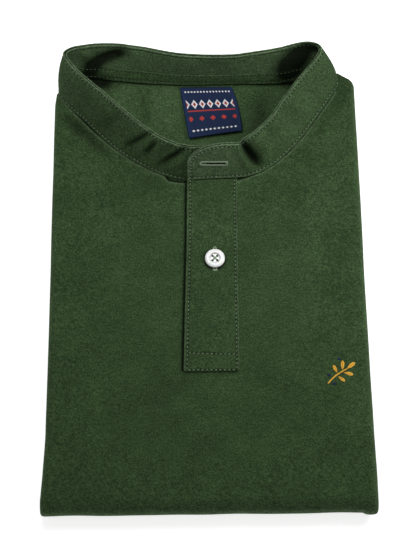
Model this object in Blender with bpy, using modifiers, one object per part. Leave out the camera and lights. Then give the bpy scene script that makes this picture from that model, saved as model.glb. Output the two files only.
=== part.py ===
"""Band collar shirt, folded into a flat packet with its front up.

The sides and sleeves are folded behind, then the lower half is folded up behind
the upper half, so the front panel runs over the top of the packet, round the
cross fold at the foot and back along the underside to the hem.

Axes: +X to the right of the packet, +Y towards the collar, +Z up.  The origin is
on the packet's centre line, on the surface that it lies on.
Every size below is in millimetres, and MM turns it into metres for the mesh.
"""

import math

import bmesh
import bpy
import numpy as np

MM = 0.001


def table(columns, *rows):
    """A short table as named columns; its first column is the one it is read by."""
    return dict(zip(columns, np.array(rows).T))


# ------------------------------------------------------------ driving sizes

SEAM_GAP = 0.3            # left between pieces that are sewn together
PANEL_WALL = 1.5          # front panel cloth with its nap
BACK_WALL = 1.2
PACKET_HEIGHT = 18.6      # flat top of the packet, at the neck seam
PACKET_CROWN = 0.6        # how much the belly of the packet is puffed up
FOOT_FOLD_Y = -156.3      # where the top starts to turn round the cross fold
HEM_Y = 152.0             # hem of the lower front, on the underside
FLANK_LEG = 1.0           # cloth tucked in at the middle of each side fold
FLANK_END_LEFT = 147.0    # the left side fold ends here, at the shoulder
SHOULDER_DIP = 2.2        # the right shoulder falls away behind the neck
SHOULDER_DIP_X = (96.0, 104.0)           # where it starts and where it is full
SHOULDER_DIP_Y = (148.0, 160.0)
CROWN_REACH = 98.0        # half width of the puffed belly
CROWN_FOOT = 45.0         # it fades out over this length at the cross fold
CROWN_HEAD = (20.0, 66.0)                # and between these y below the neck
FOLDS_REACH = 103.0       # soft folds fade out this far from the middle
FOLDS_FADE = 8.0
FOLDS_FOOT = 20.0

BAND_HEIGHT = 31.3        # stand collar, seam to top edge
BAND_PLY = 1.0
BAND_PLY_GAP = 0.3
BAND_CORNER = 26.0        # length of the rounded corner at each band end
BAND_CORNER_RISE = 0.42   # share of the band height that the cut end keeps

BACK_FLOOR = 11.5         # inside of the back panel, seen through the neck
BACK_SIDE = 16.4          # the same where it rises into the side folds
BACK_SIDE_X = (84.0, 102.0)              # from here to here it rises
BACK_FRONT_EDGE = 60.0    # the back panel is built up to here, under the front
BACK_NEAR_SEAM = (22.0, 2.0)             # it climbs to the neck seam between these
BACK_SHOULDER_X = (97.0, 100.0)          # right of the neck it ends at the shoulder
BACK_SHOULDER_Y = 156.4
BACK_LEFT_SPREAD = 1.8    # wider past the end of the left side fold

SLOT_LEFT, SLOT_RIGHT = -11.5, 19.0      # slit in the front panel
SLOT_FOOT, SLOT_HEAD = -57.0, 90.0
PLACKET_TOP_WALL = 1.2
PLACKET_HEAD, PLACKET_FOOT = 74.7, -71.0
UNDER_HEAD = 73.8
PLACKET_CORNER = 1.6      # small radius at the foot corners

TAPE_HEIGHT = 12.0
TAPE_WALL = 1.0
TAPE_FROM, TAPE_TO = -97.0, 89.0         # x where the neck tape starts and ends
BEHIND_Y = 150.0          # the seam lies behind this on the back of the neck

LABEL_WALL = 1.0
LABEL_ARCH = 0.5                         # how much the label bulges across

BUTTON_PLACE = (5.8, 11.1)
BUTTON_HOLE_RADIUS = 0.85
BUTTON_HOLE_SPREAD = 1.55                # from the centre, along X and Y

# ------------------------------------------------------------ tables

# Outline of the packet: where its side folds stand at each y.
SIDES = table(
    ("y", "left", "right"),
    (150.0, -109.2, 111.2),
    (138.0, -110.5, 111.2),
    (60.0, -110.1, 111.0),
    (-15.0, -109.4, 110.3),
    (-90.0, -109.1, 110.4),
    (-115.0, -109.2, 110.5),
    (-142.0, -110.3, 110.8),
    (-157.0, -111.2, 110.6),
)

# Neck edge and right shoulder of the front panel, from left to right.
NECK_EDGE = table(
    ("x", "y"),
    (-105.4, 146.8),
    (-102.3, 141.7),
    (-93.8, 131.4),
    (-80.2, 116.4),
    (-65.6, 102.4),
    (-49.6, 90.4),
    (-38.1, 83.8),
    (-27.2, 78.8),
    (-25.6, 75.2),
    (-19.0, 74.0),
    (-11.6, 73.6),
    (19.1, 74.6),
    (28.2, 77.2),
    (39.9, 81.8),
    (50.7, 89.2),
    (60.3, 98.4),
    (68.9, 108.7),
    (80.3, 125.2),
    (91.5, 142.1),
    (94.9, 147.9),
    (96.6, 153.0),
    (98.4, 155.6),
    (98.7, 161.2),
    (101.9, 160.2),
    (104.7, 158.5),
    (107.5, 156.3),
    (109.7, 154.0),
    (110.9, 151.0),
)

# Sections of the stand collar, from the under end at the centre front, round the
# left side and the back, to the lap end: the foot of the band, its lean, and how
# far it bows outwards at half its height.
BAND_SECTIONS = table(
    ("x", "y", "z", "lean_x", "lean_y", "bow"),
    (19.0, 76.6, 16.1, 0.0, 11.8, 0.0),
    (4.0, 76.0, 16.1, 0.5, 11.8, 0.0),
    (-13.3, 75.4, 16.3, 1.6, 11.6, 0.0),
    (-26.4, 77.2, 18.9, 3.6, 12.0, 0.0),
    (-38.6, 82.6, 18.9, 5.6, 12.2, 0.0),
    (-66.3, 101.4, 18.9, 11.0, 13.2, 0.0),
    (-94.7, 130.6, 18.9, 11.6, 10.4, 0.5),
    (-106.4, 146.6, 18.9, 8.6, 10.2, 2.2),
    (-105.4, 152.6, 17.6, 4.8, 9.8, 2.4),
    (-100.6, 157.2, 16.2, 2.7, 9.4, 1.5),
    (-88.6, 161.4, 14.4, 1.8, 9.3, 0.5),
    (-68.3, 160.5, 13.8, 1.6, 12.4, 0.0),
    (-20.9, 156.4, 13.8, 0.1, 7.0, 0.0),
    (33.4, 156.4, 13.8, -0.3, 6.3, 0.0),
    (60.6, 156.8, 14.1, -2.5, 11.6, 0.0),
    (87.6, 159.0, 16.2, -8.0, 11.4, 1.5),
    (97.8, 154.0, 18.9, -13.6, 10.9, 2.3),
    (92.6, 141.5, 18.9, -16.8, 11.0, 1.0),
    (69.8, 108.0, 18.9, -16.4, 13.6, 0.5),
    (51.5, 88.3, 18.9, -11.6, 14.9, 0.5),
    (40.5, 80.8, 18.9, -9.3, 14.9, 0.0),
    (28.2, 76.2, 19.6, -5.2, 12.2, 0.0),
    (19.0, 75.1, 20.6, -1.5, 11.8, 0.0),
    (7.9, 74.7, 20.6, 0.0, 11.6, 0.0),
    (-12.9, 74.0, 20.6, 0.0, 11.6, 0.0),
)

# Soft folds of the front panel: a line from one end to the other, its half width
# and its depth (a ridge where the depth is negative).
PANEL_FOLDS = table(
    ("from_x", "from_y", "to_x", "to_y", "half_width", "depth"),
    (-103.0, 128.0, -66.0, 90.0, 5.0, 0.9),
    (-92.0, 111.0, -60.0, 84.0, 7.0, -0.5),
    (104.0, 146.0, 78.0, 107.0, 5.0, 0.9),
    (104.0, 128.0, 86.0, 98.0, 8.0, -0.5),
    (-30.0, 66.0, -70.0, 60.0, 9.0, 0.4),
    (36.0, 62.0, 74.0, 70.0, 9.0, 0.4),
)

# Creases of the band: distance along the seam from the lap end and height above
# the seam, at both ends, with half width and depth.
BAND_CREASES = table(
    ("from_s", "from_up", "to_s", "to_up", "half_width", "depth"),
    (40.0, 33.0, 50.0, 11.0, 4.5, 2.2),
    (56.0, 31.0, 66.0, 9.5, 7.0, -0.8),
    (478.0, 30.0, 492.0, 14.0, 3.5, 1.0),
    (458.0, 31.0, 474.0, 15.5, 3.5, 1.0),
)

# Open edge and fold edge of the top placket.
PLACKET_EDGES = table(
    ("y", "open_x", "fold_x"),
    (74.7, -13.2, 22.6),
    (26.0, -13.8, 21.9),
    (-26.0, -15.3, 21.6),
    (-71.0, -16.5, 21.4),
)

# Neck label: its left edge, its right edge and its height above the floor.
LABEL_SHEET = table(
    ("share", "left_x", "left_y", "right_x", "right_y", "z"),
    (0.0, -18.2, 152.4, 20.4, 152.4, 14.9),
    (0.25, -16.8, 142.0, 23.4, 143.0, 13.9),
    (0.55, -14.6, 128.5, 26.0, 131.0, 13.6),
    (0.85, -12.8, 116.0, 27.2, 120.5, 14.1),
    (1.0, -11.8, 109.4, 27.4, 115.5, 14.8),
)

# Turned outline of the button: radius and height, down the outside.
BUTTON_PROFILE = table(
    ("radius", "height"),
    (0.0, 1.55),
    (2.9, 1.60),
    (3.7, 2.30),
    (4.6, 2.75),
    (5.6, 2.80),
    (6.4, 2.50),
    (6.9, 1.90),
    (7.0, 1.35),
    (6.7, 0.75),
    (5.8, 0.25),
    (4.6, 0.0),
    (0.0, 0.0),
)

# Folded edges at the collar end of the hidden layers, from the floor up: where
# each layer's middle lies in the stack and how far it is set back.
LAYERS = table(
    ("share", "set_back"),
    (0.10, 1.6),
    (0.30, 0.4),
    (0.50, 2.6),
    (0.70, 1.2),
    (0.90, 0.0),
)
LAYER_ROUND = 1.3         # how far each folded edge bulges
LAYER_BEHIND = 1.0        # the edges lie this far inside the back neck seam

# ------------------------------------------------------------ mesh detail

FLANK_STEPS = 5           # faces round one side fold
CLOSER_AT_NECK = 1.25     # power that draws the front panel's rows to the neck
NECK_STEP = 13.0          # longest stretch between columns of the front panel
TOP_ROWS, TURN_ROWS = 18, 8
BAND_STATIONS, BAND_ROWS_UP = 66, 4
LAP_FOLD = 48.0           # the deep crease of the band, from the lap end
BUSY_REACH, BUSY_WEIGHT = 14.0, 1.4      # closer sections at the ends and this crease
TURN_WEIGHT = 45.0        # and round the corners
CORE_ACROSS, CORE_UP = 12, 10
CORE_TURN = np.radians((7.0, 20.0, 35.0, 52.0, 70.0, 90.0))   # round the cross fold
CORE_ROWS = np.array((                   # y of the rows from there to the collar end
    -142.0, -115.0, -90.0, -15.0, 25.0, BACK_FRONT_EDGE - 3.0, BACK_FRONT_EDGE - 1.0,
    90.0, 115.0, 138.0, FLANK_END_LEFT + 0.4, FLANK_END_LEFT + 1.4, 152.0, 155.0,
))
BACK_ACROSS, BACK_ALONG = 22, 10
BUTTON_STEPS = 28
HOLE_SIDES = 10
HOLE_CUT = 12.0           # length of the guides that cut the button's holes
SLOT_CUT = 10.0           # height of the guide that cuts the front panel's slit
CLOSER_OUTSIDE = 0.85     # power that draws the layers' rows to top and bottom
SHARP_ANGLE = math.radians(50.0)         # edges sharper than this stay crisp

# Hidden layers: how they keep clear of the front panel wrapped round them.
CORE_GROOVE = 1.45        # room for the tucked-in leg of a side fold
CORE_FREE = 0.35          # room inside the roll of a side fold
CORE_SIDE = 6.0           # the top and bottom stop this far from the outline
CORE_STEP_Y = BACK_FRONT_EDGE - 2.0      # the layers step down to the back panel
BARE_SPREAD = 1.6         # wider where no side fold covers them

# Worked out from the sizes above.
MIDDLE_Z = PACKET_HEIGHT / 2                       # height of the cross fold's axis
HALF_GAP = SEAM_GAP / 2
FLANK_RADIUS = (MIDDLE_Z - HALF_GAP) / 2           # radius of one side fold
FLANK_CENTRE = HALF_GAP + FLANK_RADIUS             # its centre, from the mid plane
BAND_HALF = BAND_PLY + BAND_PLY_GAP / 2            # mid surface to outer face
RAIL_STEP = 0.004                                  # share used for the rail's direction


# ------------------------------------------------------------ plain helpers

def look_up(rows, name, where):
    """Value of a table's column, straight between the rows."""
    lead = next(iter(rows.values()))
    order = np.argsort(lead)
    return np.interp(where, lead[order], rows[name][order])


def smooth(value, low, high):
    """Soft step from 0 at low to 1 at high."""
    share = np.clip((value - low) / (high - low), 0.0, 1.0)
    return share * share * (3.0 - 2.0 * share)


def natural_spline(knots, values, at):
    """Natural cubic curve through values at knots, read at the given places."""
    steps = np.diff(knots)
    count = len(knots)
    matrix = np.zeros((count, count))
    matrix[0, 0] = 1.0
    matrix[-1, -1] = 1.0
    right = np.zeros(values.shape)
    for i in range(1, count - 1):
        matrix[i, i - 1] = steps[i - 1]
        matrix[i, i] = 2.0 * (steps[i - 1] + steps[i])
        matrix[i, i + 1] = steps[i]
        rise = (values[i + 1] - values[i]) / steps[i]
        fall = (values[i] - values[i - 1]) / steps[i - 1]
        right[i] = 6.0 * (rise - fall)
    bend = np.linalg.solve(matrix, right)
    cell = np.clip(np.searchsorted(knots, at, side="right") - 1, 0, count - 2)
    span = steps[cell][:, None]
    after = (at - knots[cell])[:, None]
    before = (knots[cell + 1] - at)[:, None]
    curved = (bend[cell] * before ** 3 + bend[cell + 1] * after ** 3) / (6.0 * span)
    start = (values[cell] / span - bend[cell] * span / 6.0) * before
    finish = (values[cell + 1] / span - bend[cell + 1] * span / 6.0) * after
    return curved + start + finish


def fold_depth(x, y, rows):
    """Depth of soft folds: a round-ended trough along each row's line."""
    total = np.zeros(np.broadcast(x, y).shape)
    for x0, y0, x1, y1, half_width, depth in zip(*rows.values()):
        run_x = x1 - x0
        run_y = y1 - y0
        along = ((x - x0) * run_x + (y - y0) * run_y) / (run_x ** 2 + run_y ** 2)
        near = np.clip(along, 0.0, 1.0)
        away = np.hypot(x - x0 - near * run_x, y - y0 - near * run_y)
        fade = 1.0 - 0.6 * np.abs(2.0 * near - 1.0) ** 3
        total = total + depth * fade * np.exp(-(away / half_width) ** 2)
    return total


def closed_skin(place, across, along, deep):
    """Closed shell of a bent block.

    place(u, v, w) gives the point for each share across, along and deep; the
    block's six sides are gridded at the given shares and joined at their edges.
    """
    counts = (len(across), len(along), len(deep))
    index = {}
    shares = []
    for i, u in enumerate(across):
        for j, v in enumerate(along):
            for k, w in enumerate(deep):
                inner = 0 < i < counts[0] - 1 and 0 < j < counts[1] - 1 and 0 < k < counts[2] - 1
                if not inner:
                    index[(i, j, k)] = len(shares)
                    shares.append((u, v, w))
    shares = np.array(shares)
    points = place(shares[:, 0], shares[:, 1], shares[:, 2])
    faces = []
    for axis in range(3):
        first, second = [a for a in range(3) if a != axis]
        for end in (0, counts[axis] - 1):
            for a in range(counts[first] - 1):
                for b in range(counts[second] - 1):
                    ring = []
                    for da, db in ((0, 0), (1, 0), (1, 1), (0, 1)):
                        key = [0, 0, 0]
                        key[axis] = end
                        key[first] = a + da
                        key[second] = b + db
                        ring.append(index[tuple(key)])
                    faces.append(ring)
    return points, faces


# ------------------------------------------------------------ cloth surfaces

def shoulder_dip(x, y):
    """How far the right shoulder falls away behind the neck."""
    return SHOULDER_DIP * smooth(x, *SHOULDER_DIP_X) * smooth(y, *SHOULDER_DIP_Y)


def front_lift(x, y):
    """Height of the front panel above the flat top of the packet."""
    across = np.clip(1.0 - (x / CROWN_REACH) ** 2, 0.0, 1.0)
    along = smooth(y, FOOT_FOLD_Y, FOOT_FOLD_Y + CROWN_FOOT) * (1.0 - smooth(y, *CROWN_HEAD))
    puff = PACKET_CROWN * across * along
    inside = smooth(FOLDS_REACH - np.abs(x), 0.0, FOLDS_FADE)
    inside = inside * smooth(y, FOOT_FOLD_Y, FOOT_FOLD_Y + FOLDS_FOOT)
    return puff - fold_depth(x, y, PANEL_FOLDS) * inside - shoulder_dip(x, y)


def band_rail(stations):
    """Foot of the band and its lean at shares of the seam length."""
    rows = np.column_stack(tuple(BAND_SECTIONS.values()))
    reach = np.linalg.norm(np.diff(rows[:, :3], axis=0), axis=1)
    knots = np.concatenate(([0.0], np.cumsum(reach)))
    at = np.asarray(stations) * knots[-1]
    curve = natural_spline(knots, rows, at)
    curve[:, 2] = np.interp(at, knots, rows[:, 2])
    lean = curve[:, 3:5]
    rise = np.sqrt(BAND_HEIGHT ** 2 - (lean ** 2).sum(axis=1))
    bow = np.interp(at, knots, rows[:, 5])
    return curve[:, :3], np.column_stack((lean, rise)), at, knots[-1], bow


def band_frame(stations):
    """Foot, way up and outward normal of the band's mid surface."""
    foot, way_up, at, length, bow = band_rail(stations)
    ahead = band_rail(np.clip(stations + RAIL_STEP, 0.0, 1.0))[0]
    behind = band_rail(np.clip(stations - RAIL_STEP, 0.0, 1.0))[0]
    outward = np.cross(way_up, ahead - behind)
    outward /= np.linalg.norm(outward, axis=1)[:, None]
    return foot, way_up, outward, at, length, bow


def band_point(station, rise, offset):
    """Point of the band: share along, share of height, distance outwards.

    Each ply's foot is cut level, so that it stands on the neck edge all along.
    """
    foot, way_up, outward, at, length, bow = band_frame(station)
    end = np.minimum(at, length - at)
    curl = np.clip(1.0 - end / BAND_CORNER, 0.0, 1.0)
    kept = BAND_CORNER_RISE + (1.0 - BAND_CORNER_RISE) * np.sqrt(1.0 - curl ** 2)
    height = rise * kept
    from_lap = length - at
    crease = fold_depth(from_lap, height * BAND_HEIGHT, BAND_CREASES)
    level = -offset * outward[:, 2] / way_up[:, 2] * (1.0 - rise)
    out = offset - crease + bow * 4.0 * height * (1.0 - height)
    height = height + level
    return foot + way_up * height[:, None] + outward * out[:, None]


def back_edge():
    """Neck edge of the back panel, from left to right: x, y and height."""
    foot, way_up, outward, at, length, bow = band_frame(np.linspace(0.0, 1.0, 400))
    behind = foot[:, 1] > BEHIND_Y - 5.0
    plan = foot[behind, :2] + outward[behind, :2] * BAND_HALF
    height = foot[behind, 2] - SEAM_GAP
    order = np.argsort(plan[:, 0])
    return plan[order, 0], plan[order, 1], height[order]


EDGE_X, EDGE_Y, EDGE_Z = back_edge()


def back_edge_y(x):
    """How far the back panel reaches towards the collar."""
    reach = np.interp(x, EDGE_X, EDGE_Y)
    shoulder = smooth(x, *BACK_SHOULDER_X)
    return reach * (1.0 - shoulder) + BACK_SHOULDER_Y * shoulder


def back_height(x, y):
    """Inside face of the back panel: flat, rising to the sides and the neck seam."""
    floor = BACK_FLOOR + (BACK_SIDE - BACK_FLOOR) * smooth(np.abs(x), *BACK_SIDE_X)
    seam = np.minimum(np.interp(x, EDGE_X, EDGE_Z), BACK_SIDE)
    edge = back_edge_y(x)
    near = smooth(y, edge - BACK_NEAR_SEAM[0], edge - BACK_NEAR_SEAM[1])
    return floor + (seam - floor) * near - shoulder_dip(x, y)


# ------------------------------------------------------------ sewn pieces

def front_columns():
    """Columns of the front panel: share across, turn round the flank, leg, head y."""
    xs, ys = NECK_EDGE["x"], NECK_EDGE["y"]
    flat_left = SIDES["left"][0] + FLANK_RADIUS
    flat_right = SIDES["right"][0] - FLANK_RADIUS
    reach = np.concatenate(([0.0], np.cumsum(np.hypot(np.diff(xs), np.diff(ys)))))
    picks = []
    for i in range(len(xs) - 1):
        parts = max(1, int(math.ceil((reach[i + 1] - reach[i]) / NECK_STEP)))
        picks.extend(np.linspace(xs[i], xs[i + 1], parts, endpoint=False))
    flat_x = np.array([x for x in picks if flat_left + 1.0 < x < flat_right - 0.4])
    flat_y = np.interp(flat_x, xs, ys)
    turns = np.linspace(-90.0, 90.0, FLANK_STEPS + 1)
    rows = [(0.0, -90.0, 1.0, -1.0, FLANK_END_LEFT)]
    rows += [(0.0, turn, 0.0, -1.0, FLANK_END_LEFT) for turn in turns]
    rows += [
        ((x - flat_left) / (flat_right - flat_left), 90.0, 0.0, 0.0, y)
        for x, y in zip(flat_x, flat_y)
    ]
    for turn in turns[::-1]:
        x = flat_right + FLANK_RADIUS * math.cos(math.radians(turn))
        rows.append((1.0, turn, 0.0, 1.0, float(np.interp(x, xs, ys))))
    rows.append((1.0, -90.0, 1.0, 1.0, ys[-1]))
    return np.array(rows)


def front_panel_mesh():
    """Front panel: a strip with rolled flanks, carried round the cross fold."""
    columns = front_columns()
    unders = [y for y in SIDES["y"][::-1] if FOOT_FOLD_Y < y < FLANK_END_LEFT]
    unders = np.array([FOOT_FOLD_Y, *unders, HEM_Y])
    turned = TOP_ROWS + TURN_ROWS

    def place(u, v, w):
        pick = u.astype(int)
        share, turn, leg, side, head = columns[pick].T
        turn = np.radians(turn)
        wall = PANEL_WALL * w
        radius = FLANK_RADIUS - wall
        top = v < TOP_ROWS
        down = np.clip(v / TOP_ROWS, 0.0, 1.0) ** CLOSER_AT_NECK
        y = head + (FOOT_FOLD_Y - head) * down
        bend = np.pi * np.clip((v - TOP_ROWS) / TURN_ROWS, 0.0, 1.0)
        y = np.where(v > turned, np.interp(v - turned, np.arange(len(unders)), unders), y)
        left = look_up(SIDES, "left", y) + FLANK_RADIUS
        right = look_up(SIDES, "right", y) - FLANK_RADIUS
        x = left + (right - left) * share
        x = x + side * radius * np.cos(turn) - side * leg * FLANK_LEG
        flat = side == 0.0
        lift = np.where(top & flat, front_lift(x, y), 0.0)
        away = FLANK_CENTRE + radius * np.sin(turn) + lift
        z = MIDDLE_Z + away * np.cos(bend)
        y = y - away * np.sin(bend)
        return np.column_stack((x, y, z))

    across = np.arange(len(columns))
    along = np.arange(turned + len(unders))
    return closed_skin(place, across, along, (0.0, 1.0))


def folded_layers_mesh():
    """Hidden layers as one solid: sleeves, side flaps and the turned-up half."""
    inset = PANEL_WALL + SEAM_GAP
    reach = MIDDLE_Z - inset
    groove = HALF_GAP + inset + CORE_GROOVE
    core_radius = FLANK_RADIUS - inset - CORE_FREE
    stations = np.concatenate((FOOT_FOLD_Y - reach * np.cos(CORE_TURN), CORE_ROWS))
    last = len(stations) - 1
    ups = np.linspace(-1.0, 1.0, CORE_UP + 1)
    ups = np.sign(ups) * np.abs(ups) ** CLOSER_OUTSIDE

    def flank(away):
        """Distance of the side from the outline, for a height off the mid plane."""
        round_part = core_radius ** 2 - (away - FLANK_CENTRE) ** 2
        rolled = FLANK_RADIUS - np.sqrt(np.clip(round_part, 0.0, None))
        tucked = FLANK_RADIUS + FLANK_LEG + SEAM_GAP
        return np.where(away < groove, tucked, rolled)

    def place(u, v, w):
        y = stations[v.astype(int)]
        turned = np.clip(FOOT_FOLD_Y - y, 0.0, None)
        half = np.sqrt(reach ** 2 - turned ** 2)
        up = ups[w.astype(int)]
        left = look_up(SIDES, "left", y)
        right = look_up(SIDES, "right", y)
        x_flat = left + CORE_SIDE + (right - left - 2.0 * CORE_SIDE) * u
        layered = back_edge_y(x_flat) - LAYER_BEHIND - layer_setback(0.5 + 0.5 * up)
        y = np.where(v == last, layered, y)
        under_back = BACK_WALL + 3.0 * SEAM_GAP
        neck_top = back_height(x_flat, y) - under_back - MIDDLE_Z
        body_top = reach + front_lift(x_flat, y)
        top = np.where(y > CORE_STEP_Y, neck_top, body_top)
        top = np.where(turned > 0.0, half, top)
        off = np.where(up > 0.0, up * top, up * half)
        away = np.hypot(turned, off)
        depth = flank(np.minimum(away, reach))
        past_fold = smooth(y, FLANK_END_LEFT + 0.5, FLANK_END_LEFT + 1.4)
        bare = np.where(up > 0.0, BARE_SPREAD * past_fold, 0.0)
        x = np.where(u == 0.0, left + depth - bare, np.where(u == 1.0, right - depth, x_flat))
        return np.column_stack((x, y, MIDDLE_Z + off))

    across = np.linspace(0.0, 1.0, CORE_ACROSS + 1)
    return closed_skin(place, across, np.arange(last + 1), np.arange(CORE_UP + 1))


def layer_setback(share):
    """How far the stacked folded edges stand back, at a share of their height."""
    count = len(LAYERS["share"])
    pitch = 1.0 / count
    nearest = np.clip(np.floor(share / pitch), 0, count - 1).astype(int)
    middle = LAYERS["share"][nearest]
    back = LAYERS["set_back"][nearest]
    bulge = np.clip(1.0 - (2.0 * (share - middle) / pitch) ** 2, 0.0, 1.0)
    return back + LAYER_ROUND * (1.0 - np.sqrt(bulge))


def back_panel_mesh():
    """Back panel, seen through the neck: flat on the layers, up to the neck seam."""
    half = SIDES["right"][0] - FLANK_RADIUS - 2.0 * SEAM_GAP

    def place(u, v, w):
        wide = half * (2.0 * u - 1.0)
        head = back_edge_y(wide)
        y = BACK_FRONT_EDGE + (head - BACK_FRONT_EDGE) * v
        spread = BACK_LEFT_SPREAD * smooth(y, FLANK_END_LEFT + 0.6, FLANK_END_LEFT + 3.0)
        x = wide - spread * smooth(-wide, BACK_SIDE_X[1] - 7.0, half)
        z = back_height(wide, y) - BACK_WALL * w
        return np.column_stack((x, y, z))

    across = 0.5 - 0.5 * np.cos(np.linspace(0.0, np.pi, BACK_ACROSS + 1))
    along = np.linspace(0.0, 1.0, BACK_ALONG + 1) ** 0.8
    return closed_skin(place, across, along, (0.0, 1.0))


def band_stations():
    """Shares along the band: closer together at the ends and round the corners."""
    dense = np.linspace(0.0, 1.0, 1001)
    foot, way_up, outward, at, length, bow = band_frame(dense)
    turn = np.linalg.norm(np.diff(outward, axis=0), axis=1)
    from_lap = length - at[1:]
    busy = [np.exp(-((from_lap - spot) / BUSY_REACH) ** 2) for spot in (0.0, LAP_FOLD, length)]
    weight = np.diff(at) * (1.0 + BUSY_WEIGHT * sum(busy)) + TURN_WEIGHT * turn
    spread = np.concatenate(([0.0], np.cumsum(weight)))
    return np.interp(np.linspace(0.0, spread[-1], BAND_STATIONS), spread, dense)


def band_ply_mesh(inner_face, outer_face):
    """One ply of the stand collar, between two distances from its mid surface."""
    def place(u, v, w):
        offset = inner_face + (outer_face - inner_face) * w
        return band_point(u, v, offset)

    return closed_skin(place, band_stations(), np.linspace(0.0, 1.0, BAND_ROWS_UP + 1), (0.0, 1.0))


def neck_tape_mesh():
    """Neck tape: a strip on the inside of the inner ply, along the back neck."""
    dense = np.linspace(0.0, 1.0, 1001)
    foot = band_rail(dense)[0]
    behind = foot[:, 1] > BEHIND_Y
    ends = np.interp((TAPE_FROM, TAPE_TO), foot[behind, 0], dense[behind])
    face = -(BAND_HALF + SEAM_GAP)

    def place(u, v, w):
        return band_point(u, v, face - TAPE_WALL * w)

    stations = band_stations()
    stations = stations[(stations > ends[0]) & (stations < ends[1])]
    heights = np.linspace(0.0, TAPE_HEIGHT / BAND_HEIGHT, 3)
    return closed_skin(place, stations, heights, (0.0, 1.0))


def placket_edges(u, y):
    """x across the top placket, with small rounded corners at its foot."""
    left = look_up(PLACKET_EDGES, "open_x", y)
    right = look_up(PLACKET_EDGES, "fold_x", y)
    foot = np.clip(1.0 - (y - PLACKET_FOOT) / PLACKET_CORNER, 0.0, 1.0)
    pull = PLACKET_CORNER * (1.0 - np.sqrt(1.0 - foot ** 2))
    return left + pull + (right - left - 2.0 * pull) * u


def placket_top_mesh():
    """Top placket: lies on the front panel and the under placket."""
    def place(u, v, w):
        x = placket_edges(u, v)
        z = PACKET_HEIGHT + front_lift(x, v) + SEAM_GAP + PLACKET_TOP_WALL * w
        return np.column_stack((x, v, z))

    corner = PLACKET_FOOT + PLACKET_CORNER * np.array((0.0, 0.08, 0.3, 1.0))
    along = np.concatenate((corner, np.linspace(PLACKET_FOOT + 8.0, PLACKET_HEAD, 16)))
    return closed_skin(place, np.linspace(0.0, 1.0, 6), along, (0.0, 1.0))


def placket_under_mesh():
    """Under placket: fills the slit in the front panel, level with it."""
    left = SLOT_LEFT + SEAM_GAP
    right = SLOT_RIGHT - SEAM_GAP

    def place(u, v, w):
        x = left + (right - left) * u
        z = PACKET_HEIGHT + front_lift(x, v) - PANEL_WALL * w
        return np.column_stack((x, v, z))

    along = np.linspace(SLOT_FOOT + SEAM_GAP, UNDER_HEAD, 14)
    return closed_skin(place, np.linspace(0.0, 1.0, 4), along, (0.0, 1.0))


def neck_label_mesh():
    """Neck label: hangs askew from the tape, its foot standing off the back."""
    def place(u, v, w):
        left_x = look_up(LABEL_SHEET, "left_x", v)
        left_y = look_up(LABEL_SHEET, "left_y", v)
        x = left_x + (look_up(LABEL_SHEET, "right_x", v) - left_x) * u
        y = left_y + (look_up(LABEL_SHEET, "right_y", v) - left_y) * u
        arch = LABEL_ARCH * np.sin(np.pi * u) * v
        z = look_up(LABEL_SHEET, "z", v) + arch - LABEL_WALL * (1.0 - w)
        return np.column_stack((x, y, z))

    return closed_skin(place, np.linspace(0.0, 1.0, 7), np.linspace(0.0, 1.0, 7), (0.0, 1.0))


# ------------------------------------------------------------ scene building

def clear_scene():
    """Start from an empty file."""
    for thing in list(bpy.data.objects):
        bpy.data.objects.remove(thing, do_unlink=True)


def make_collection(name):
    """A collection linked to the scene."""
    collection = bpy.data.collections.new(name)
    bpy.context.scene.collection.children.link(collection)
    return collection


def make_material(name, colour, roughness, metallic=0.0):
    """A plain Principled finish."""
    material = bpy.data.materials.new(name)
    material.use_nodes = True
    shader = material.node_tree.nodes["Principled BSDF"]
    shader.inputs["Base Color"].default_value = (*colour, 1.0)
    shader.inputs["Roughness"].default_value = roughness
    shader.inputs["Metallic"].default_value = metallic
    material.diffuse_color = (*colour, 1.0)
    return material


def add_cloth(name, skin, collection, material):
    """An object from a closed skin in millimetres, faces outward, shaded smooth."""
    points, faces = skin
    mesh = bpy.data.meshes.new(name)
    mesh.from_pydata((points * MM).tolist(), [], faces)
    work = bmesh.new()
    work.from_mesh(mesh)
    bmesh.ops.recalc_face_normals(work, faces=work.faces[:])
    if work.calc_volume(signed=True) < 0.0:
        bmesh.ops.reverse_faces(work, faces=work.faces[:])
    work.to_mesh(mesh)
    work.free()
    mesh.shade_smooth()
    mesh.set_sharp_from_angle(angle=SHARP_ANGLE)
    mesh.materials.append(material)
    thing = bpy.data.objects.new(name, mesh)
    collection.objects.link(thing)
    return thing


def add_cutter(name, mesh, collection):
    """A guide shape that is only used to cut another one."""
    cutter = bpy.data.objects.new(name, mesh)
    cutter.hide_render = True
    cutter.display_type = "WIRE"
    collection.objects.link(cutter)
    return cutter


def cut_away(thing, cutter):
    """Boolean difference of an object and a cutter."""
    modifier = thing.modifiers.new("Cut " + cutter.name, "BOOLEAN")
    modifier.operation = "DIFFERENCE"
    modifier.solver = "EXACT"
    modifier.object = cutter


def placket_slit(cutters):
    """Block that cuts the slit into the top of the front panel."""
    mesh = bpy.data.meshes.new("placket_slit")
    work = bmesh.new()
    bmesh.ops.create_cube(work, size=1.0)
    size = (SLOT_RIGHT - SLOT_LEFT, SLOT_HEAD - SLOT_FOOT, SLOT_CUT)
    middle = ((SLOT_RIGHT + SLOT_LEFT) / 2, (SLOT_HEAD + SLOT_FOOT) / 2, PACKET_HEIGHT)
    for vert in work.verts:
        for axis in range(3):
            vert.co[axis] = (middle[axis] + vert.co[axis] * size[axis]) * MM
    work.to_mesh(mesh)
    work.free()
    return add_cutter("placket_slit", mesh, cutters)


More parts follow.
